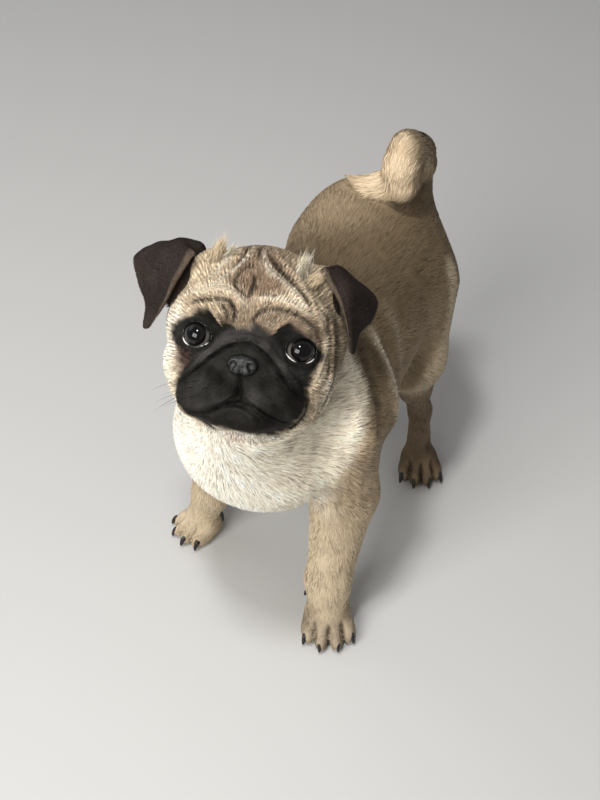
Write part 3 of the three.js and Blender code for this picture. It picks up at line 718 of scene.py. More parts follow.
def body_layers(p, n, soft):
    """The flanks, the darker back, the pale belly, the fringe and painted light on the right of the rump"""
    behind = smooth(-92, -48, p[:, 1] + 0.25 * (p[:, 2] - 220))
    back = smooth(205, 262, p[:, 2] + 16 * n[:, 2]) * smooth(-80, -30, p[:, 1]) * smooth(-0.15, 0.5, n[:, 2])
    fringe, _ = line_distance(p, FRINGE_LINE)
    low_fringe = 6 * smooth(195, 165, p[:, 2])
    return [
        (FLANK, behind * smooth(95, 150, p[:, 2]) * (0.9 + soft)),
        (SADDLE, back * (0.95 + soft)),
        (SADDLE, smooth(70, 130, p[:, 1]) * smooth(150, 200, p[:, 2]) * 0.5),
        (CREAM, smooth(-0.1, -0.8, n[:, 2]) * 0.45 * smooth(60, 110, p[:, 2])),
        (FRINGE, smooth(14, 3, fringe - low_fringe) * 0.62),
        # painted light: the right of the rump, where the light falls on it, is painted paler
        (RUMP_PAINTED_LIGHT, smooth(80, 15, away_from(p, (-52, 100, 275))) * 0.65),
    ]


def leg_layers(p, n, soft, hind):
    low = smooth(165, 100, p[:, 2])
    outside = smooth(0.1, 0.8, n[:, 0] * np.sign(p[:, 0])) * smooth(30, 80, p[:, 2])
    return [
        (LEG_FAWN, low * (1 - hind) * (0.92 + soft)),
        (FAWN, outside * low * (1 - hind) * 0.5),
        (HIND_FAWN, low * hind * (0.9 + soft)),
    ]


def chest_layers(p, soft, top):
    """The chest and throat, white on the right and cream on the left"""
    rear = np.interp(p[:, 2], *np.array(CHEST_REAR).T)
    chest = smooth(6, -8, p[:, 1] - rear + 16 * soft) * smooth(112, 138, p[:, 2]) * (1 - top)
    cream = mixed(all_over(WHITE, len(p)), CREAM, smooth(10, 60, p[:, 0]) * 0.8)
    return [(cream, chest * 1.15)]


def toe_layers(p, soft, hind):
    """Grey towards the claws, and dark between the toes"""
    grey_toes = toe_share(p) * smooth(3, 14, p[:, 2]) * (0.5 + soft)
    return [
        (TOE_GREY, grey_toes * (1 - hind) * np.where(p[:, 0] > 0, 0.85, 0.12)),
        (TOE_SHADE, toe_gaps(p) * np.where((p[:, 0] > 0) | (hind > 0.5), 0.9, 0.3)),
    ]


def head_layers(q, top):
    """Brown over the crown, pale on the right cheek, a darker fawn on the left that is partly painted shade,
    white under the chin
    """
    x, y, z = q.T
    across = np.abs(x + 0.03 * z)
    cheek = top * smooth(40, 53, -x) * smooth(34, 12, z) * smooth(30, 5, y)
    side = top * smooth(40, 52, x) * smooth(44, 20, z)
    over_eyes = smooth(14, 5, np.abs(z - 21)) * smooth(52, 42, np.abs(x))
    over_eyes *= np.where(x > -3, 0.75, 0.25 + 0.4 * smooth(-26, -14, x))
    low_side = top * smooth(48, 57, x) * smooth(-4, -16, z)
    jowl = top * smooth(-30, -44, z) * smooth(-30, -10, y + 0.3 * np.abs(x) - 12)
    chin = np.hypot((x + 2) / 1.3, z + 62)
    return [
        (FACE_FAWN, top * 0.95),
        (CROWN, top * smooth(14, 40, z) * smooth(56, 40, across) * 0.9),
        (FOREHEAD, top * smooth(24, 10, np.hypot(x * 0.8, z - 50))),
        (FOREHEAD, top * smooth(58, 72, z) * smooth(45, 30, across) * 0.6),
        (NAPE, top * smooth(0, 34, y) * smooth(-30, 20, z) * 0.85),
        (CHEEK, cheek * 0.95),
        # darker on the left: partly the coat, partly painted shade on the side away from the light
        (FAWN * 0.72, side * 0.9),
        (FOREHEAD, top * over_eyes),
        (CREAM, low_side * 0.9),
        (CREAM, jowl * 0.8),
        (WHITE, top * smooth(-50, -58, z) * 0.95),
        (SKIN_PINK, top * smooth(9, 3, chin) * 0.55),
    ]


def mask_black(p, q, dark):
    """The mask's black, with a painted sheen above the fold's crease and beside the lip's middle, painted
    light on the right and painted shade in the creases
    """
    x, _, z = q.T
    above = z - np.interp(x, *np.array(FOLD_CREASE).T)
    sheen = smooth(0.5, 3.5, above) * smooth(16, 6, above) * smooth(44, 24, np.abs(x)) * 0.95
    sheen += smooth(9, 3, np.hypot(np.abs(x) - 10, (z + 30) * 0.8)) * 0.5
    sheen += smooth(-8, -26, x) * smooth(-4, -12, above) * smooth(-50, -38, z) * 0.35
    return mixed(MASK, MASK_SHEEN, sheen + 0.15 * ripple(p, 12, 23)) * (1 - 0.85 * dark)[:, None]


def coat_colour(p, n, creased=True):
    q = head.into(p)
    top, mask, tail = head_share(p), mask_share(p), tail_share(p)
    soft = ripple(p, 45, 21) * 0.12 + ripple(p, 14, 22) * 0.07
    hind = smooth(30, 60, p[:, 1])
    _, dark = folds(p)
    ridge, dark = np.clip(-dark * 1.15, 0, 1), np.clip(dark, 0, 1) * creased
    # bare skin in the wrinkles under the right eye
    sore = smooth(8, 3, np.hypot(q[:, 0] + 43, (q[:, 2] + 13) * 0.7)) * top
    colour = layered(all_over(FAWN, len(p)), [
        *body_layers(p, n, soft),
        *leg_layers(p, n, soft, hind),
        *chest_layers(p, soft, top),
        *toe_layers(p, soft, hind),
        *head_layers(q, top),
        # painted light on the folds' ridges and painted shade in their creases
        (CREAM, ridge * 0.85),
        (SHADE, dark * 0.9),
        (mask_black(p, q, dark), mask * 0.99),
        (SORE, sore * (0.45 + 0.3 * ripple(p, 3, 24))),
        # the tail: fawn, with painted shade behind and to its left, away from the light, and darker at its
        # tip
        (TAIL_FAWN, tail * 0.95),
        (HIND_FAWN, tail * smooth(-0.1, 0.7, n[:, 1] * 0.8 + n[:, 0] * 0.6) * 0.75),
        (FLANK, smooth(22, 6, away_from(p, TAIL[-1])) * 0.45),
    ])
    strands = 0.42 * streaks(q) * top * (1 - mask) * smooth(10, -25, q[:, 1])
    return colour * (1 + soft * 0.3 * (1 - mask) + strands)[:, None]


def coat_lie(p, n):
    """The direction the hair lies in"""
    q = head.into(p)
    body = np.stack([0.1 * p[:, 0] / 70, np.full(len(p), 0.95), -0.25 - 0.75 * smooth(270, 170, p[:, 2])], 1)
    leg = smooth(150, 105, p[:, 2])[:, None]
    body = body * (1 - leg) + leg * np.array([0, 0.25, -1.0])
    top = head_share(p)[:, None]
    away = unit(q - np.array([0, -62, -7.0])) + np.array([0, 0.35, 0])
    way = unit(body) * (1 - top) + unit(away @ head.matrix.T) * top
    tail = tail_share(p)[:, None]
    line = resampled(TAIL, 6)
    _, place = line_distance(p, line)
    ways = unit(np.gradient(line, axis=0))
    index = np.clip((place * (len(line) - 1)).astype(int), 0, len(line) - 1)
    way = way * (1 - tail) + ways[index] * tail
    for leg in LEGS.values():
        place = paw_frame(leg)
        near = smooth(40, 24, away_from(p, place.out((0, -2, 10))))[:, None]
        way = way * (1 - near) + near * unit(place.turned((0, -1, -0.55))[None, :])
    way = way + 0.08 * np.stack([ripple(p, 30, 31), ripple(p, 34, 32), ripple(p, 28, 33)], 1)
    end = smooth(9, 3, away_from(p, TAIL[-1]))[:, None]
    return unit(way - n * (way * n).sum(1, keepdims=True) * (1 - end))


# Mesh making
def placed(name, data):
    """A new object that holds this data, in the scene"""
    piece = bpy.data.objects.new(name, data)
    bpy.context.scene.collection.objects.link(piece)
    return piece


def mesh_object(name, points, faces, material, smoothly=True):
    """A mesh piece on the body, from points in the dog's frame and faces of one size"""
    mesh = bpy.data.meshes.new(name)
    count, size = faces.shape
    mesh.vertices.add(len(points))
    mesh.vertices.foreach_set("co", ((points + SHIFT) / 1000).astype(np.float32).ravel())
    mesh.loops.add(count * size)
    mesh.loops.foreach_set("vertex_index", faces.astype(np.int32).ravel())
    mesh.polygons.add(count)
    mesh.polygons.foreach_set("loop_start", np.arange(0, count * size, size, dtype=np.int32))
    mesh.polygons.foreach_set("use_smooth", np.full(count, smoothly))
    mesh.materials.append(material)
    mesh.update(calc_edges=True)
    piece = placed(name, mesh)
    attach(piece, "root")
    return piece


def paint(piece, colour, name="coat_colour"):
    layer = piece.data.color_attributes.new(name, "FLOAT_COLOR", "POINT")
    rgba = np.ones((len(colour), 4), np.float32)
    rgba[:, :3] = np.clip(colour, 0, 1)
    layer.data.foreach_set("color", rgba.ravel())


def bake_places(piece, uv, faces):
    """Gives the faces' corners these places in the skin's own unwrapping"""
    layer = piece.data.uv_layers.new(name="OFBake")
    layer.data.foreach_set("uv", uv.astype(np.float32)[faces.ravel()].ravel())


def grid_faces(rows, columns, closed=False):
    """Quads of a grid of points, row by row; closed joins each row's end to its start"""
    i, j = np.meshgrid(np.arange(rows - 1), np.arange(columns if closed else columns - 1), indexing="ij")
    i, j = i.ravel(), j.ravel()
    k = (j + 1) % columns
    return np.stack([i * columns + j, i * columns + k, (i + 1) * columns + k, (i + 1) * columns + j], 1)


def tube(line, aside, above, thick, sides, wide, tall):
    """Rings of points round a line, this many times the thickness wide and tall"""
    rings = []
    for k in range(sides):
        angle = 2 * math.pi * k / sides
        spoke = aside * math.cos(angle) * wide + above * math.sin(angle) * tall
        rings.append(line + spoke * thick[:, None])
    return np.stack(rings, 1).reshape(-1, 3)


# Materials
def new_material(name, roughness, **sockets):
    """A material with its nodes, links and shader; sockets are the shader's, with _ for spaces"""
    material = bpy.data.materials.new(name)
    material.use_nodes = True
    nodes = material.node_tree.nodes
    shader = nodes["Principled BSDF"]
    shader.inputs["Roughness"].default_value = roughness
    for key, value in sockets.items():
        shader.inputs[key.replace("_", " ")].default_value = value
    return material, nodes, material.node_tree.links, shader


def bump_into(nodes, links, shader, height, strength, distance):
    bump = nodes.new("ShaderNodeBump")
    bump.inputs["Strength"].default_value = strength
    bump.inputs["Distance"].default_value = distance
    links.new(height, bump.inputs["Height"])
    links.new(bump.outputs["Normal"], shader.inputs["Normal"])


def noise(nodes, links, scale, detail):
    made = nodes.new("ShaderNodeTexNoise")
    made.inputs["Scale"].default_value = scale
    made.inputs["Detail"].default_value = detail
    links.new(nodes.new("ShaderNodeTexCoord").outputs["Object"], made.inputs["Vector"])
    return made.outputs["Fac"]


def painted_colour(nodes):
    attribute = nodes.new("ShaderNodeVertexColor")
    attribute.layer_name = "coat_colour"
    return attribute.outputs["Color"]


def ramp_colour(nodes, links, value, *stops):
    """A colour between two, each given with the value at which it is reached"""
    ramp = nodes.new("ShaderNodeValToRGB")
    for element, (position, tone) in zip(ramp.color_ramp.elements, stops):
        element.position = position
        element.color = (*linear(tone), 1)
    links.new(value, ramp.inputs["Fac"])
    return ramp.outputs["Color"]


def painted_material(name, roughness, tone, grain_scale, grain, **sockets):
    """Takes its colour from the painted attribute, varied by a fine grain"""
    material, nodes, links, shader = new_material(name, roughness, **sockets)
    colour = painted_colour(nodes)
    fine = noise(nodes, links, grain_scale, 3)
    ramp = nodes.new("ShaderNodeMapRange")
    ramp.inputs["To Min"].default_value = 1 - tone
    ramp.inputs["To Max"].default_value = 1 + tone
    links.new(fine, ramp.inputs["Value"])
    tint = nodes.new("ShaderNodeVectorMath")
    tint.operation = "SCALE"
    links.new(colour, tint.inputs[0])
    links.new(ramp.outputs["Result"], tint.inputs["Scale"])
    links.new(tint.outputs["Vector"], shader.inputs["Base Color"])
    bump_into(nodes, links, shader, fine, grain, 0.0006)
    return material


SKIN = painted_material("skin_coat", 0.85, 0.22, 900, 0.5, Specular_IOR_Level=0.2)
FUR = painted_material("fur", 0.62, 0.16, 1400, 0.25, Specular_IOR_Level=0.22)
MASK_FUR = painted_material("mask_fur", 0.52, 0.25, 1400, 0.3, Specular_IOR_Level=0.1)


# Ears: thin bent sheets, rows of points joined by smooth curves both ways
EAR_ROWS = {
    1: [
        [(54, -6, 28), (41, -3, 50), (43, 7, 51), (46, 17, 44)],
        [(54, -15, 42), (45, -6, 62), (52.5, 5, 59.5), (59, 15, 50)],
        [(39, -19, 61), (53, -13, 63), (67, 0, 56), (79, 8, 47.5)],
        [(54.5, -22, 42), (62, -20, 45.5), (71, -12, 41), (79.5, -1, 34)],
        [(63.5, -22, 24), (66, -21.5, 25), (69.5, -17, 24.5), (72, -10, 22.5)],
        [(68, -20, 8.5), (69, -20.5, 7.5), (70, -19.5, 7.5), (70.7, -17.5, 8.5)],
    ],
    -1: [
        [(61, -9, 19), (43, -3, 50), (45, 7, 51), (48, 17, 45)],
        [(65, -14, 30), (48, -6, 65), (58, 5, 64.5), (67.5, 16, 55.5)],
        [(49, -20, 60), (63, -13, 64), (80, 0, 61.5), (94.5, 8, 53.5)],
        [(58, -22, 38.5), (68, -20, 42), (80, -12, 41), (89, -1, 35)],
        [(64.5, -22, 19.8), (70, -21.5, 20.8), (75.5, -17, 20.5), (78.5, -10, 19)],
        [(73, -20, 4), (74.5, -20.5, 3), (76, -19.5, 3), (77.5, -17.5, 4)],
    ],
}
EAR_THICKNESS = 2.2
EAR_ROLL = 1.1  # how much thicker the ear is along its inner edge


def smooth_line(points, at):
    """A curve through the points, at these places from 0 to 1"""
    points = np.asarray(points, float)
    padded = np.concatenate([[2 * points[0] - points[1]], points, [2 * points[-1] - points[-2]]])
    x = np.clip(at, 0, 1) * (len(points) - 1)
    i = np.minimum(x.astype(int), len(points) - 2)
    t = (x - i)[:, None]
    a, b, c, d = (padded[i + k] for k in range(4))
    bend, twist = 2 * a - 5 * b + 4 * c - d, 3 * b - a - 3 * c + d
    return 0.5 * (2 * b + (c - a) * t + bend * t * t + twist * t ** 3)


def ear_sheet(side, rows, columns):
    """The ear's middle sheet, with its outward normals, as grids of points in the dog's frame"""
    lines = np.array([smooth_line(row, np.linspace(0, 1, columns)) for row in EAR_ROWS[side]])
    sheet = np.stack([smooth_line(lines[:, j], np.linspace(0, 1, rows)) for j in range(columns)], 1)
    sheet[..., 0] *= side
    along, across = np.gradient(sheet, axis=0), np.gradient(sheet, axis=1)
    out = unit(np.cross(across, along).reshape(-1, 3)).reshape(sheet.shape) * side
    return head.out(sheet), head.turned(out)


def ear_shell(side, rows=64, columns=36):
    """Both faces of the ear, rounded over its edge"""
    middle, out = ear_sheet(side, rows, columns)
    u = np.linspace(0, 1, rows)[:, None]
    v = np.linspace(0, 1, columns)[None, :]
    edge = np.minimum(np.minimum(v, 1 - v) * columns / 2.5, (1 - u) * rows / 2.5)
    rolled = smooth(0.13, 0.05, v) * smooth(0.12, 0.3, u)
    half = (EAR_THICKNESS / 2 * (1 - 0.3 * u) + EAR_ROLL * rolled) * np.sqrt(np.clip(edge, 0.05, 1))
    crease = ripple(middle.reshape(-1, 3), 22, 41 + side).reshape(rows, columns) * 0.7 * np.clip(edge, 0, 1)
    front = middle + out * (half + crease)[..., None]
    back = middle - out * (half - crease)[..., None]
    points = np.concatenate([front.reshape(-1, 3), back.reshape(-1, 3)])
    faces = grid_faces(rows, columns)
    total = rows * columns
    rim = [*range(columns)] + [i * columns + columns - 1 for i in range(1, rows)]
    rim += [(rows - 1) * columns + j for j in range(columns - 2, -1, -1)]
    rim += [i * columns for i in range(rows - 2, 0, -1)]
    rim = np.array(rim)
    after = np.roll(rim, -1)
    sides = np.stack([rim, rim + total, after + total, after], 1)
    faces = np.concatenate([faces, faces[:, ::-1] + total, sides])
    if side > 0:
        faces = faces[:, ::-1]
    place = np.stack([np.broadcast_to(share, (rows, columns)).ravel() for share in (u, v)], 1)
    return points, faces, np.concatenate([place, place])


def ear_colour(points, place):
    """Black-brown velvet, with a paler rolled edge on the side of the face, partly the velvet's painted sheen
    """
    colour = all_over(EAR_DARK, len(points)) * (1 + 0.25 * ripple(points, 25, 51))[:, None]
    down, across = place.T
    return layered(colour, [
        (EAR_RIM, smooth(0.12, 0.03, across) * smooth(0.2, 0.42, down) * 0.75),
        (EAR_RIM, smooth(0.97, 1, across) * 0.35),
        (EAR_RIM, smooth(0.16, 0.0, down) * 0.5),
    ])


# One skin: the body's net and both ears
under_coat = 1 - 0.35 * head_share(skin_points) * (1 - mask_share(skin_points))
parts = [(skin_points, skin_quads, coat_colour(skin_points, normals) * under_coat[:, None])]
ears = {}
for side in (1, -1):
    points, faces, place = ear_shell(side)
    ears[side] = (points, faces, place)
    parts.append((points, faces, ear_colour(points, place)))
offset, all_faces = 0, []
for points, faces, _ in parts:
    all_faces.append(faces + offset)
    offset += len(points)
all_points = np.concatenate([p for p, _, _ in parts])
all_faces = np.concatenate(all_faces)
all_colours = np.concatenate([c for _, _, c in parts])
skin = mesh_object("skin", all_points, all_faces, SKIN)
paint(skin, all_colours)
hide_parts("head", "neck", "torso", "tail", "ear_left", "ear_right",
            *[f"{part}_{name}" for part in ("leg", "paw") for name in LEGS])
bpy.context.view_layer.objects.active = skin
skin.select_set(True)
bpy.ops.object.mode_set(mode="EDIT")
bpy.ops.mesh.select_all(action="SELECT")
bpy.ops.uv.smart_project(angle_limit=math.radians(66), island_margin=0.002)
bpy.ops.object.mode_set(mode="OBJECT")
skin.data.uv_layers[0].name = "OFBake"
skin.select_set(False)
skin_uv = np.empty(len(all_faces) * 8, np.float32)
skin.data.uv_layers[0].data.foreach_get("uv", skin_uv)
skin_uv = skin_uv.reshape(-1, 4, 2)
all_normals = vertex_normals(all_points, all_faces)


# Fur
def roots_on(faces, weight, count):
    """Roots spread over the faces by area and weight: points, normals, OFBake places, faces"""
    a, b, c, d = (all_points[all_faces[faces][:, k]] for k in range(4))
    area = np.linalg.norm(np.cross(c - a, d - b), axis=1) / 2 * weight
    reach = np.cumsum(area)
    at = (np.arange(count) + rng.uniform(0, 1, count)) / count * reach[-1]
    chosen = np.minimum(np.searchsorted(reach, at), len(faces) - 1)
    u, v = rng.uniform(0, 1, (2, count))
    share = np.stack([(1 - u) * (1 - v), u * (1 - v), u * v, (1 - u) * v], 1)
    corner = all_faces[faces[chosen]]
    points = np.einsum("nk,nkj->nj", share, all_points[corner])
    ways = unit(np.einsum("nk,nkj->nj", share, all_normals[corner]))
    places = np.einsum("nk,nkj->nj", share, skin_uv[faces[chosen]])
    return points, ways, places, faces[chosen]


def tuft_mesh(name, roots, ways, lie, length, width, rise, colour, places, material, follow=None,
              contrast=0.28):
    """Each tuft is a flat tapered blade of three triangles that leans along the coat"""
    count = len(roots)
    roll = rng.normal(0, 0.35, count)
    across = unit(np.cross(ways, lie))
    flat = unit(across + ways * roll[:, None])
    sunk = roots - ways * 0.35
    middle = roots + lie * (length * 0.5)[:, None] + ways * (length * rise * 0.62)[:, None]
    tip = roots + lie * length[:, None] + ways * (length * rise * 0.8)[:, None]
    if follow is not None:
        middle = follow(middle, ways, length * rise * 0.62)
        tip = follow(tip, ways, length * rise * 0.8)
    half = flat * (width / 2)[:, None]
    points = np.stack([sunk - half, sunk + half, middle - half * 0.8, middle + half * 0.8, tip], 1)
    base = np.arange(count)[:, None] * 5
    triangles = np.concatenate([base + [0, 1, 3], base + [0, 3, 2], base + [2, 3, 4]]).astype(np.int32)
    piece = mesh_object(name, points.reshape(-1, 3), triangles, material)
    tone = 1 + np.array([-1, -1, 0, 0, 0.4]) * np.broadcast_to(contrast, count)[:, None]
    # painted shade on the tufts that lie over a crease, by where the root, middle and tip lie
    if follow is not None:
        dark = [np.clip(folds(place)[1], 0, 1) for place in (roots, middle, tip)]
        tone = tone * (1 - 0.94 * np.stack([dark[0], dark[0], dark[1], dark[1], dark[2]], 1))
    paint(piece, (colour[:, None, :] * tone[:, :, None]).reshape(-1, 3))
    patch = np.array([[-1, -1], [1, -1], [-0.8, 0], [0.8, 0], [0, 1]]) * 0.0014
    bake_places(piece, (places[:, None, :] + patch[None]).reshape(-1, 2), triangles)
    return piece


def hugging(points, ways, height):
    """Points set at this height over the body, so that long hair follows its curve"""
    lift, _ = folds(points)
    here = lidded_shape(points.astype(np.float32)) + coat_depth(points) + TOE_GAP_DEPTH * toe_gaps(points)
    here -= lift * smooth(*FOLDS_ROUND_EYE, eye_nearness(points))
    return points - ways * np.clip(here - height, -4, 4)[:, None]


body_count = len(skin_quads)
centres = all_points[all_faces[:body_count]].mean(1)
zone_head = head_share(centres)
zone_mask = mask_share(centres)
zone_eye = eye_nearness(centres)
zone_foot = smooth(46, 26, centres[:, 2])
under = centres[:, 2] < 1.2
hidden = (zone_eye < BARE_ROUND_EYE) | under
dense = 1 + 1.6 * zone_head + 1.2 * zone_foot
dense = dense * (1 + 0.9 * zone_mask)
dense[hidden] = 0

MOST_TUFTS = 60000  # in one piece
COAT_TUFTS, MASK_TUFTS, EAR_TUFTS, LOCK_TUFTS = 330000, 58000, 16000, 420


def coat(name, weight, total, form, material):
    """Spreads tufts over the body in pieces of a size that the export takes"""
    points, ways, places, _ = roots_on(np.arange(body_count), weight, total)
    lie = coat_lie(points, ways)
    colour = coat_colour(points, ways, creased=False)
    mask = mask_share(points)
    top = head_share(points) * (1 - mask)
    neck = smooth(-10, -50, points[:, 1]) * smooth(120, 160, points[:, 2]) * (1 - top)
    # the hair lies in small clumps that are paler at their tips than between, the dark between them partly
    # painted shade, most of all on the head
    jitter = rng.normal(0, 1, total) * (0.1 + 0.16 * top)
    left = 0.1 + 0.12 * smooth(20, 60, points[:, 0])
    clumps = ripple(points, 4.5, 61) * 0.22 * top + ripple(points * (1, 1, 0.22), 6, 62) * left * neck
    colour = colour * np.clip(1.04 + jitter + clumps, 0.4, 1.7)[:, None]
    dark_hair = (rng.uniform(0, 1, total) < 0.06 + 0.2 * top) & (mask < 0.3)
    colour[dark_hair] *= 0.5
    length, width, rise = form(points, ways, mask)
    length = length * rng.uniform(0.75, 1.2, total)
    ahead = np.maximum.reduce([folds(points + lie * (length * t)[:, None])[1] for t in (0, 0.4, 0.8)])
    length = length * (1 - 0.7 * np.clip(ahead, 0, 1))
    contrast = 0.28 + 0.2 * top + 0.14 * neck
    spread = rng.normal(0, 0.08, total)[:, None]
    lie = unit(lie + np.cross(ways, lie) * spread)
    keep = eye_nearness(points) > BARE_ROUND_EYE
    order = np.lexsort((points[:, 0], np.floor(points[:, 2] / 12), np.floor(points[:, 1] / 40)))
    order = order[keep[order]]
    for i, start in enumerate(range(0, len(order), MOST_TUFTS)):
        part = order[start:start + MOST_TUFTS]
        tuft_mesh(f"{name}_{i + 1}", points[part], ways[part], lie[part], length[part], width[part],
                  rise[part], colour[part], places[part], material, hugging, contrast[part])


def short_coat(p, n, mask):
    """Length, width and rise of the tufts by their place"""
    q = head.into(p)
    top = head_share(p)
    foot = smooth(56, 26, p[:, 2])
    face = top * smooth(20, -30, q[:, 1])
    length = 9.5 - 2.8 * top - 2.2 * face - 5.4 * foot * (1 - top)
    ruff = (1 - top) * smooth(-20, -70, p[:, 1]) * smooth(150, 200, p[:, 2])
    length = length + 3 * ruff
    rump = smooth(60, 110, p[:, 1]) * smooth(0.1, 0.9, n[:, 1])
    breeches = rump * smooth(90, 130, p[:, 2]) * smooth(250, 200, p[:, 2])
    end = smooth(26, 8, away_from(p, TAIL[-1]))
    length = length + 4 * breeches + 3 * tail_share(p) - 6.5 * end
    length = length * (1 - mask) + 3.1 * mask
    near = smooth(24, 13.5, eye_nearness(p))
    length = length * (1 - near) + 1.9 * near
    length = np.where(p[:, 2] < 8, np.minimum(length, 3), length)
    width = np.clip(0.07 * length + 0.14, 0.34, 0.85)
    rise = 0.07 + 0.06 * ruff + 0.07 * breeches + 0.07 * top
    return length, width, np.clip(rise + rng.normal(0, 0.03, len(p)), 0.02, 0.4)


body_weight = dense * (1 - zone_mask) * (zone_eye > BARE_ROUND_EYE)
coat("coat", body_weight, COAT_TUFTS, short_coat, FUR)
coat("mask_coat", zone_mask * ~hidden, MASK_TUFTS, short_coat, MASK_FUR)


def ear_coat(side):
    """Velvet on both faces of the ear, lying from its root to its tip"""
    _, faces, place = ears[side]
    first = body_count + (0 if side > 0 else len(ears[1][1]))
    chosen = np.arange(first, first + len(faces))
    count = EAR_TUFTS
    roots, ways, places, at = roots_on(chosen, np.ones(len(chosen)), count)
    tip = head.out(mirror((71, -19, 8), side))
    lie = tip - roots
    lie = unit(lie - ways * (lie * ways).sum(1, keepdims=True))
    lie = unit(lie + np.cross(ways, lie) * rng.normal(0, 0.2, (count, 1)))
    far = away_from(roots, tip)
    colour = ear_colour(roots, place[faces[at - first]].mean(1))
    colour *= np.clip(rng.normal(1, 0.16, count), 0.5, 1.6)[:, None]
    length = rng.uniform(2.2, 4.2, count) * np.clip(far / 14, 0.3, 1)
    piece = tuft_mesh(f"ear_coat_{WORDS[side]}", roots, ways, lie, length, np.full(count, FINE_HAIR),
                      rng.uniform(0.06, 0.2, count), colour, places, MASK_FUR)


for side in (1, -1):
    ear_coat(side)


def lock(name, root, tip, radius, tint):
    """Longer hair round the root that comes together in a point, where an ear parts the coat"""
    count = LOCK_TUFTS
    centre = on_face([root])[0]
    end = centre + head.turned(tip)
    away = away_from(centres, centre)
    chosen = np.nonzero(away < radius)[0]
    roots, ways, places, _ = roots_on(chosen, (1 - away[chosen] / radius) ** 0.5, count)
    toward = end + rng.normal(0, 2.4, (count, 3)) - roots
    size = np.linalg.norm(toward, axis=1) * rng.uniform(0.45, 1.1, count)
    shade = np.where(rng.uniform(0, 1, count) < 0.22, 0.45, 1.0)
    shade = shade * np.clip(rng.normal(0.95, 0.2, count), 0.5, 1.3)
    tuft_mesh(name, roots, ways, unit(toward), size, np.full(count, FINE_HAIR), np.full(count, 0.05),
              all_over(linear(tint), count) * shade[:, None], places, FUR, contrast=0.5)


PALE_LOCK, FAWN_LOCK = (246, 235, 212), (214, 194, 162)
# Each lock's root as (x, z) in the head's frame, how far its tip stands from it, its radius and its tint;
# the roots were picked by eye on the photograph and converted by a scratch script
LOCKS = {
    "left": [((28, 57), (0, -4, 13), 7, PALE_LOCK), ((35, 51), (5, -3, 6), 7, FAWN_LOCK)],
    "right": [((-36, 60), (5, -3, 12), 8, FAWN_LOCK), ((-28, 62), (7, -3, 7), 6, PALE_LOCK)],
}
for word, bunch in LOCKS.items():
    for i, (root, tip, radius, tint) in enumerate(bunch):
        lock(f"ear_lock_{word}_{i + 1}", root, tip, radius, tint)


# Whiskers and the few long hairs of the brows, chin and cheeks
def hairs(name, roots, ways, length, width, droop, colour, places):
    """Single stiff hairs, three-sided and tapering, bent a little by their weight"""
    steps, sides = 7, 3
    t = np.linspace(0, 1, steps)
    line = roots[:, None] + ways[:, None] * (length[:, None] * t)[..., None]
    line = line + droop[:, None] * (length[:, None] * t ** 2)[..., None]
    across = unit(np.cross(ways, np.array([0.1, 0.2, 1.0])))
    other = np.cross(ways, across)
    rings = []
    for k in range(sides):
        angle = 2 * math.pi * k / sides
        spoke = across * math.cos(angle) + other * math.sin(angle)
        rings.append(line + spoke[:, None] * (width[:, None] / 2 * (1 - 0.9 * t))[..., None])
    points = np.stack(rings, 2)
    count = len(roots)
    faces = grid_faces(steps, sides, closed=True)
    faces = (np.arange(count)[:, None, None] * steps * sides + faces[None]).reshape(-1, 4)
    piece = mesh_object(name, points.reshape(-1, 3), faces, MASK_FUR)
    paint(piece, np.repeat(colour, steps * sides, axis=0))
    spread = np.tile(np.linspace(-1, 1, steps * sides)[:, None] * 0.0012, (count, 2))
    bake_places(piece, np.repeat(places, steps * sides, axis=0) + spread, faces)


# Each whisker's root as (x, z) in the head's frame, then its length
WHISKER_ROOTS = [
    *[(side * x, z, length) for side in (-1, 1) for x, z, length in (
        (27, -24, 26), (31, -29, 24), (35, -24, 28), (24, -32, 22), (30, -35, 26), (37, -33, 24),
        (20, -27, 17))],
    (-8, -49, 11), (7, -50, 11), (-14, -50, 13), (14, -51, 12), (0, -52, 10), (-42, -38, 20), (43, -36, 20),
    (-30, 30, 15), (24, 31, 15), (-35, 29, 12), (29, 30, 12), (-2, -60, 16), (3, -61, 14),
]
spots = np.array(WHISKER_ROOTS, float)
whisker_roots = on_face(spots[:, :2])
from_nose = head.into(whisker_roots) - np.array([0, -34, -16.0])
whisker_ways = unit(head.turned(unit(from_nose) * (1, 0.75, 0.8) + rng.normal(0, 0.12, from_nose.shape)))
nearest = np.array([np.argmin(((centres - root) ** 2).sum(1)) for root in whisker_roots])
hairs("whiskers", whisker_roots - whisker_ways * 2.5, whisker_ways, spots[:, 2],
      np.full(len(spots), FINE_HAIR), all_over(head.turned((0, 0.12, -0.14)), len(spots)),
      all_over(MASK * 0.6, len(spots)), skin_uv[nearest].mean(1))


# Eyes
EYE, nodes, links, shader = new_material("eye_gloss", 0.025, IOR=1.376, Specular_IOR_Level=0.5)
links.new(painted_colour(nodes), shader.inputs["Base Color"])
LID_MATERIAL, nodes, links, shader = new_material("lid_margin", 0.22)
links.new(painted_colour(nodes), shader.inputs["Base Color"])
bump_into(nodes, links, shader, noise(nodes, links, 700, 2), 0.3, 0.0004)

PUPIL, IRIS, CORNEA = 4.6, 7.5, 8.1
PUPIL_BLACK, IRIS_DARK, IRIS_LIGHT = linear((5, 5, 6)), linear((14, 12, 12)), linear((27, 22, 20))
IRIS_RING, WHITE_RING = linear((6, 6, 6)), linear((24, 20, 19))
WHITE_DARK, PALE_WHITE_AND_REFLECTION, TEAR_GLINT = linear((34, 31, 30)), linear((84, 80, 77)), linear((235, 231, 226))


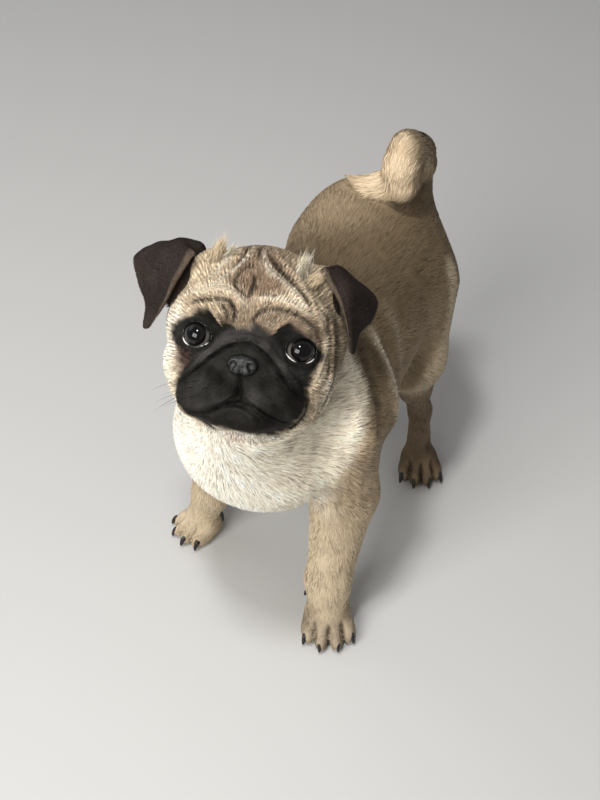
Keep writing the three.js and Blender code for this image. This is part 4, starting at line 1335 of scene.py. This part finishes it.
def eye_colour(distance, angle):
    """Pupil, iris and a dark ring, then the grey-white, paler below and to the outside, partly white that
    shows there and partly a painted reflection of wet crescents
    """
    streak = 0.5 + 0.5 * np.sin(angle * 37 + 3 * np.sin(angle * 11)) * np.sin(angle * 23 + 1.3)
    outside = smooth(-0.1, 0.6, -np.sin(angle) * 0.75 + np.abs(np.cos(angle)) * 0.5)
    iris = layered(all_over(IRIS_DARK, len(angle)), [
        (IRIS_LIGHT, streak * 0.6), (IRIS_RING, smooth(6.3, 7.5, distance))])
    white = layered(all_over(WHITE_DARK, len(angle)), [
        (PALE_WHITE_AND_REFLECTION, outside), (WHITE_RING, smooth(9.1, 9.9, distance))])
    return layered(all_over(PUPIL_BLACK, len(angle)), [
        (iris, smooth(PUPIL - 0.3, PUPIL + 0.5, distance)),
        (white, smooth(IRIS + 0.2, IRIS + 0.75, distance))])


def eyeball(side):
    """A cornea that bulges over iris and pupil, painted by rings round the gaze"""
    word = WORDS[side]
    centre, axes = gaze_frame(side)
    rings, around = 84, 112
    polar = np.linspace(0, 1, rings) ** 1.25 * math.pi
    turn = np.linspace(0, 2 * math.pi, around, endpoint=False)
    off = EYE_RADIUS * np.sin(polar)
    bulge = 1.3 * np.clip(1 - (off / CORNEA) ** 2, 0, 1) * (polar < math.pi / 2)
    reach = EYE_RADIUS - 0.15 + bulge
    local = np.stack([
        np.outer(np.sin(polar) * reach, np.cos(turn)), np.outer(np.sin(polar) * reach, np.sin(turn)),
        np.outer(np.cos(polar) * reach, np.ones(around))], 2).reshape(-1, 3)
    faces = grid_faces(rings, around, closed=True)
    eye = mesh_object(f"eyeball_{word}", centre + local @ axes.T, faces, EYE)
    distance = np.repeat(off, around) + 100 * np.repeat(polar > math.pi / 2, around)
    paint(eye, eye_colour(distance, np.tile(turn, rings)))
    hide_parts(f"eye_{word}")


def lid_margin(side):
    """The lids' wet dark margin, on the eyeball all round the opening"""
    centre, axes = gaze_frame(side)
    steps, sides = 96, 10
    t = np.linspace(0, 2 * math.pi, steps, endpoint=False)
    a = np.sign(np.cos(t)) * np.abs(np.cos(t)) ** (2 / 1.85) * (EYE_OPENING[0] + 0.75)
    b = np.sign(np.sin(t)) * np.abs(np.sin(t)) ** (2 / 2.15) * (EYE_OPENING[1] - 0.1)
    flat = np.hypot(a, b)
    size = EYE_RADIUS + 0.75
    c = np.sqrt(np.maximum(size * size - flat * flat, 1))
    line = np.stack([a, b, c], 1)
    line *= (size / np.linalg.norm(line, axis=1))[:, None]
    ahead = unit(np.roll(line, -1, 0) - np.roll(line, 1, 0))
    outward = unit(line)
    thick = 0.72 + 0.12 * np.sin(t * 2 + 0.6)
    rings = tube(line, np.cross(ahead, outward), outward, thick, sides, 1.25, 0.8)
    faces = grid_faces(steps + 1, sides, closed=True) % (steps * sides)
    margin = mesh_object(f"lid_margin_{WORDS[side]}", centre + rings @ axes.T, faces, LID_MATERIAL)
    # painted highlights: the tears catch the light in two short lines along the lower lid
    wet = smooth(0.5, 0.15, np.abs(t - 3.95)) + smooth(0.42, 0.1, np.abs(t - 5.45))
    inner = np.array([1.0 if k in (4, 5, 6) else 0.0 for k in range(sides)])
    wet = (wet[:, None] * inner[None]).ravel()
    paint(margin, mixed(all_over(MASK * 0.8, len(rings)), TEAR_GLINT, wet * 0.9))


for side in (1, -1):
    eyeball(side)
    lid_margin(side)


# Nose leather
NOSE_MATERIAL, nodes, links, shader = new_material(
    "nose_leather", 0.42, Coat_Weight=0.12, Coat_Roughness=0.25)
cells = nodes.new("ShaderNodeTexVoronoi")
cells.feature = "DISTANCE_TO_EDGE"
cells.inputs["Scale"].default_value = 1100
links.new(nodes.new("ShaderNodeTexCoord").outputs["Object"], cells.inputs["Vector"])
pebbles = cells.outputs["Distance"]
pebble_colour = ramp_colour(nodes, links, pebbles, (0, (5, 5, 5)), (0.35, (12, 12, 11)))
links.new(pebble_colour, shader.inputs["Base Color"])
bump_into(nodes, links, shader, pebbles, 0.7, 0.0006)

nose_parts = [
    ball(NOSE_PLACE, (8.4, 7.4, 6.4)),
    *both(lambda s: ball((5.7 * s, -58.4, -9.6), (5.0, 7, 6.2))),
    *both(lambda s: ball((2.9 * s, -60.8, -13.4), (3.2, 3.4, 3.2))),
]
nostrils = [
    part for s in (1, -1)
    for part in chain([(4.5 * s, -66.4, -6.4), (6 * s, -65.6, -9.6), (7.4 * s, -64.4, -12.6)],
                      [1.7, 2.7, 2.2])
]
slits = [leg for s in (1, -1) for leg in chain([(7.4 * s, -64.4, -12.6), (10 * s, -60.5, -13.2)], [1.8, 0.8])]
groove = chain([(0, -67.6, -3.2), (0, -67.6, -8.6), (0, -66.2, -13.5), (0, -63, -17)], [0.7, 1.2, 1.4, 1.3])
nose_field = carve(0.8, blend(1.8, nose_parts), [*nostrils, *slits, *groove])
NOSE_LINES = [np.arange(-13, 13.1, 0.5), np.arange(-70, -46, 0.5), np.arange(-20, 3, 0.5)]
nose_points, nose_quads = surface_net(sampled(nose_field, NOSE_LINES), NOSE_LINES)
nose_points = onto(nose_field, nose_points, 2, 0.4)
nose = mesh_object("nose_leather", head.out(nose_points), nose_quads, NOSE_MATERIAL)
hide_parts("nose")

# Claws
CLAW, nodes, links, shader = new_material("claw_horn", 0.32)
grain = noise(nodes, links, 420, 4)
horn_colour = ramp_colour(nodes, links, grain, (0.35, (10, 9, 8)), (0.75, (40, 34, 30)))
links.new(horn_colour, shader.inputs["Base Color"])
bump_into(nodes, links, shader, grain, 0.25, 0.0005)

CLAW_LENGTH, CLAW_RADIUS, CLAW_START = 5.5, 2.9, 7
CLAW_DROP = [10.5, 9.6, 7, 3.2]
CLAW_TAPER = [1, 0.96, 0.76, 0.36]


def horn(name, line, radii, replaced):
    """A claw: a closed curved horn, deeper than it is wide, blunt at its tip"""
    rows, sides = 18, 14
    at = np.linspace(0, 1, rows)
    path = smooth_line(line, at)
    thick = np.interp(at, np.linspace(0, 1, len(radii)), radii)
    thick = np.maximum(thick, 0.35) * np.where(at > 0.97, 0.45, 1)
    ahead = unit(np.gradient(path, axis=0))
    aside = unit(np.cross(ahead, np.array([0, 0, 1.0])))
    rings = tube(path, aside, np.cross(aside, ahead), thick, sides, 0.82, 1.05)
    points = np.concatenate([rings, path[:1], path[-1:]])
    total = rows * sides
    ends = [(total, (k + 1) % sides, k) for k in range(sides)]
    ends += [(total + 1, total - sides + k, total - sides + (k + 1) % sides) for k in range(sides)]
    mesh = bpy.data.meshes.new(name)
    polygons = [tuple(face) for face in grid_faces(rows, sides, closed=True).tolist()] + ends
    mesh.from_pydata(((points + SHIFT) / 1000).tolist(), [], polygons)
    mesh.polygons.foreach_set("use_smooth", np.ones(len(polygons), bool))
    mesh.materials.append(CLAW)
    claw = placed(name, mesh)
    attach(claw, "root")
    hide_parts(replaced)


for name, leg in LEGS.items():
    place = paw_frame(leg)
    for i, (x, y, fan) in enumerate(TOES):
        lean = np.array([math.sin(math.radians(fan)), -math.cos(math.radians(fan))])
        points = []
        for t, drop in zip((0, 0.35, 0.7, 1), CLAW_DROP):
            flat = (np.array([x, y]) + lean * CLAW_START) * leg["paw_size"] + lean * CLAW_LENGTH * t
            points.append(place.out((*flat, drop)))
        horn(f"horn_{name}_{i + 1}", points, [r * CLAW_RADIUS for r in CLAW_TAPER], f"claw_{name}_{i + 1}")
    if leg["dewclaw"]:
        wrist, heel = (np.array(j, float) for j in leg["joints"][-2:])
        centre = heel + (wrist - heel) * (30 - heel[2]) / (wrist[2] - heel[2])
        offsets = [(11.5, 0, 1.5), (15, -1, 0.5), (17.5, -2, -3), (18.5, -3, -7)]
        wide = leg["dewclaw"] * leg["radii"][-1] / 15.5
        points = [centre + (x * wide, y, z) for x, y, z in offsets]
        horn(f"horn_{name}_dew", points, [r * CLAW_RADIUS * 0.9 for r in CLAW_TAPER], f"dewclaw_{name}")


# Stage, light and camera
def floor():
    mesh = bpy.data.meshes.new("floor")
    size, low = 30, 0.0
    corners = [(-size, -size, low), (size, -size, low), (size, size, low), (-size, size, low)]
    mesh.from_pydata(corners, [], [(0, 1, 2, 3)])
    material, _, _, shader = new_material("pale_floor", 0.7)
    shader.inputs["Base Color"].default_value = (0.53, 0.525, 0.51, 1)
    mesh.materials.append(material)
    piece = placed("floor", mesh)


def area_light(name, place, target, size, power, tint):
    data = bpy.data.lights.new(name, "AREA")
    data.shape = "RECTANGLE"
    data.size, data.size_y = size
    data.energy = power
    data.color = tint
    lamp = placed(name, data)
    lamp.location = place
    lamp.rotation_euler = (Vector(target) - Vector(place)).to_track_quat("-Z", "Y").to_euler()


floor()
MIDDLE = (0.0, -0.04, 0.2)
area_light("key", (-0.12, -1.35, 1.08), MIDDLE, (1.0, 0.8), 25, (1.0, 0.985, 0.96))
area_light("window", (-1.5, 0.0, 1.1), MIDDLE, (1.0, 1.0), 3, (0.95, 0.98, 1.0))
area_light("catch", (0.0, -0.42, 1.7), MIDDLE, (0.19, 0.19), 13, (1.0, 1.0, 1.0))
world = bpy.data.worlds.new("soft_world")
world.use_nodes = True
sky = world.node_tree.nodes["Background"].inputs
sky["Color"].default_value = (0.98, 0.98, 1.0, 1)
sky["Strength"].default_value = 0.31
bpy.context.scene.world = world

CAMERA_PLACE = np.array([378.0, -688.0, 961.0])
CAMERA_PITCH, CAMERA_ROLL, CAMERA_TURN = 45.71, 0.823, 30.0
FOCAL_PIXELS, PICTURE_HEIGHT, SENSOR = 1361, 800, 36
camera_data = bpy.data.cameras.new("camera")
camera_data.sensor_width = SENSOR
camera_data.lens = FOCAL_PIXELS / PICTURE_HEIGHT * SENSOR
camera_data.clip_end = 100
camera = placed("camera", camera_data)
turn = Matrix.Rotation(math.radians(CAMERA_TURN), 4, "Z")
pitch = Matrix.Rotation(math.radians(90 - CAMERA_PITCH), 4, "X")
roll = Matrix.Rotation(math.radians(CAMERA_ROLL), 4, "Z")
camera.matrix_world = Matrix.Translation(Vector((CAMERA_PLACE + SHIFT) / 1000)) @ turn @ pitch @ roll
bpy.context.scene.camera = camera
bpy.context.scene.view_settings.view_transform = "Standard"

bpy.context.view_layer.update()
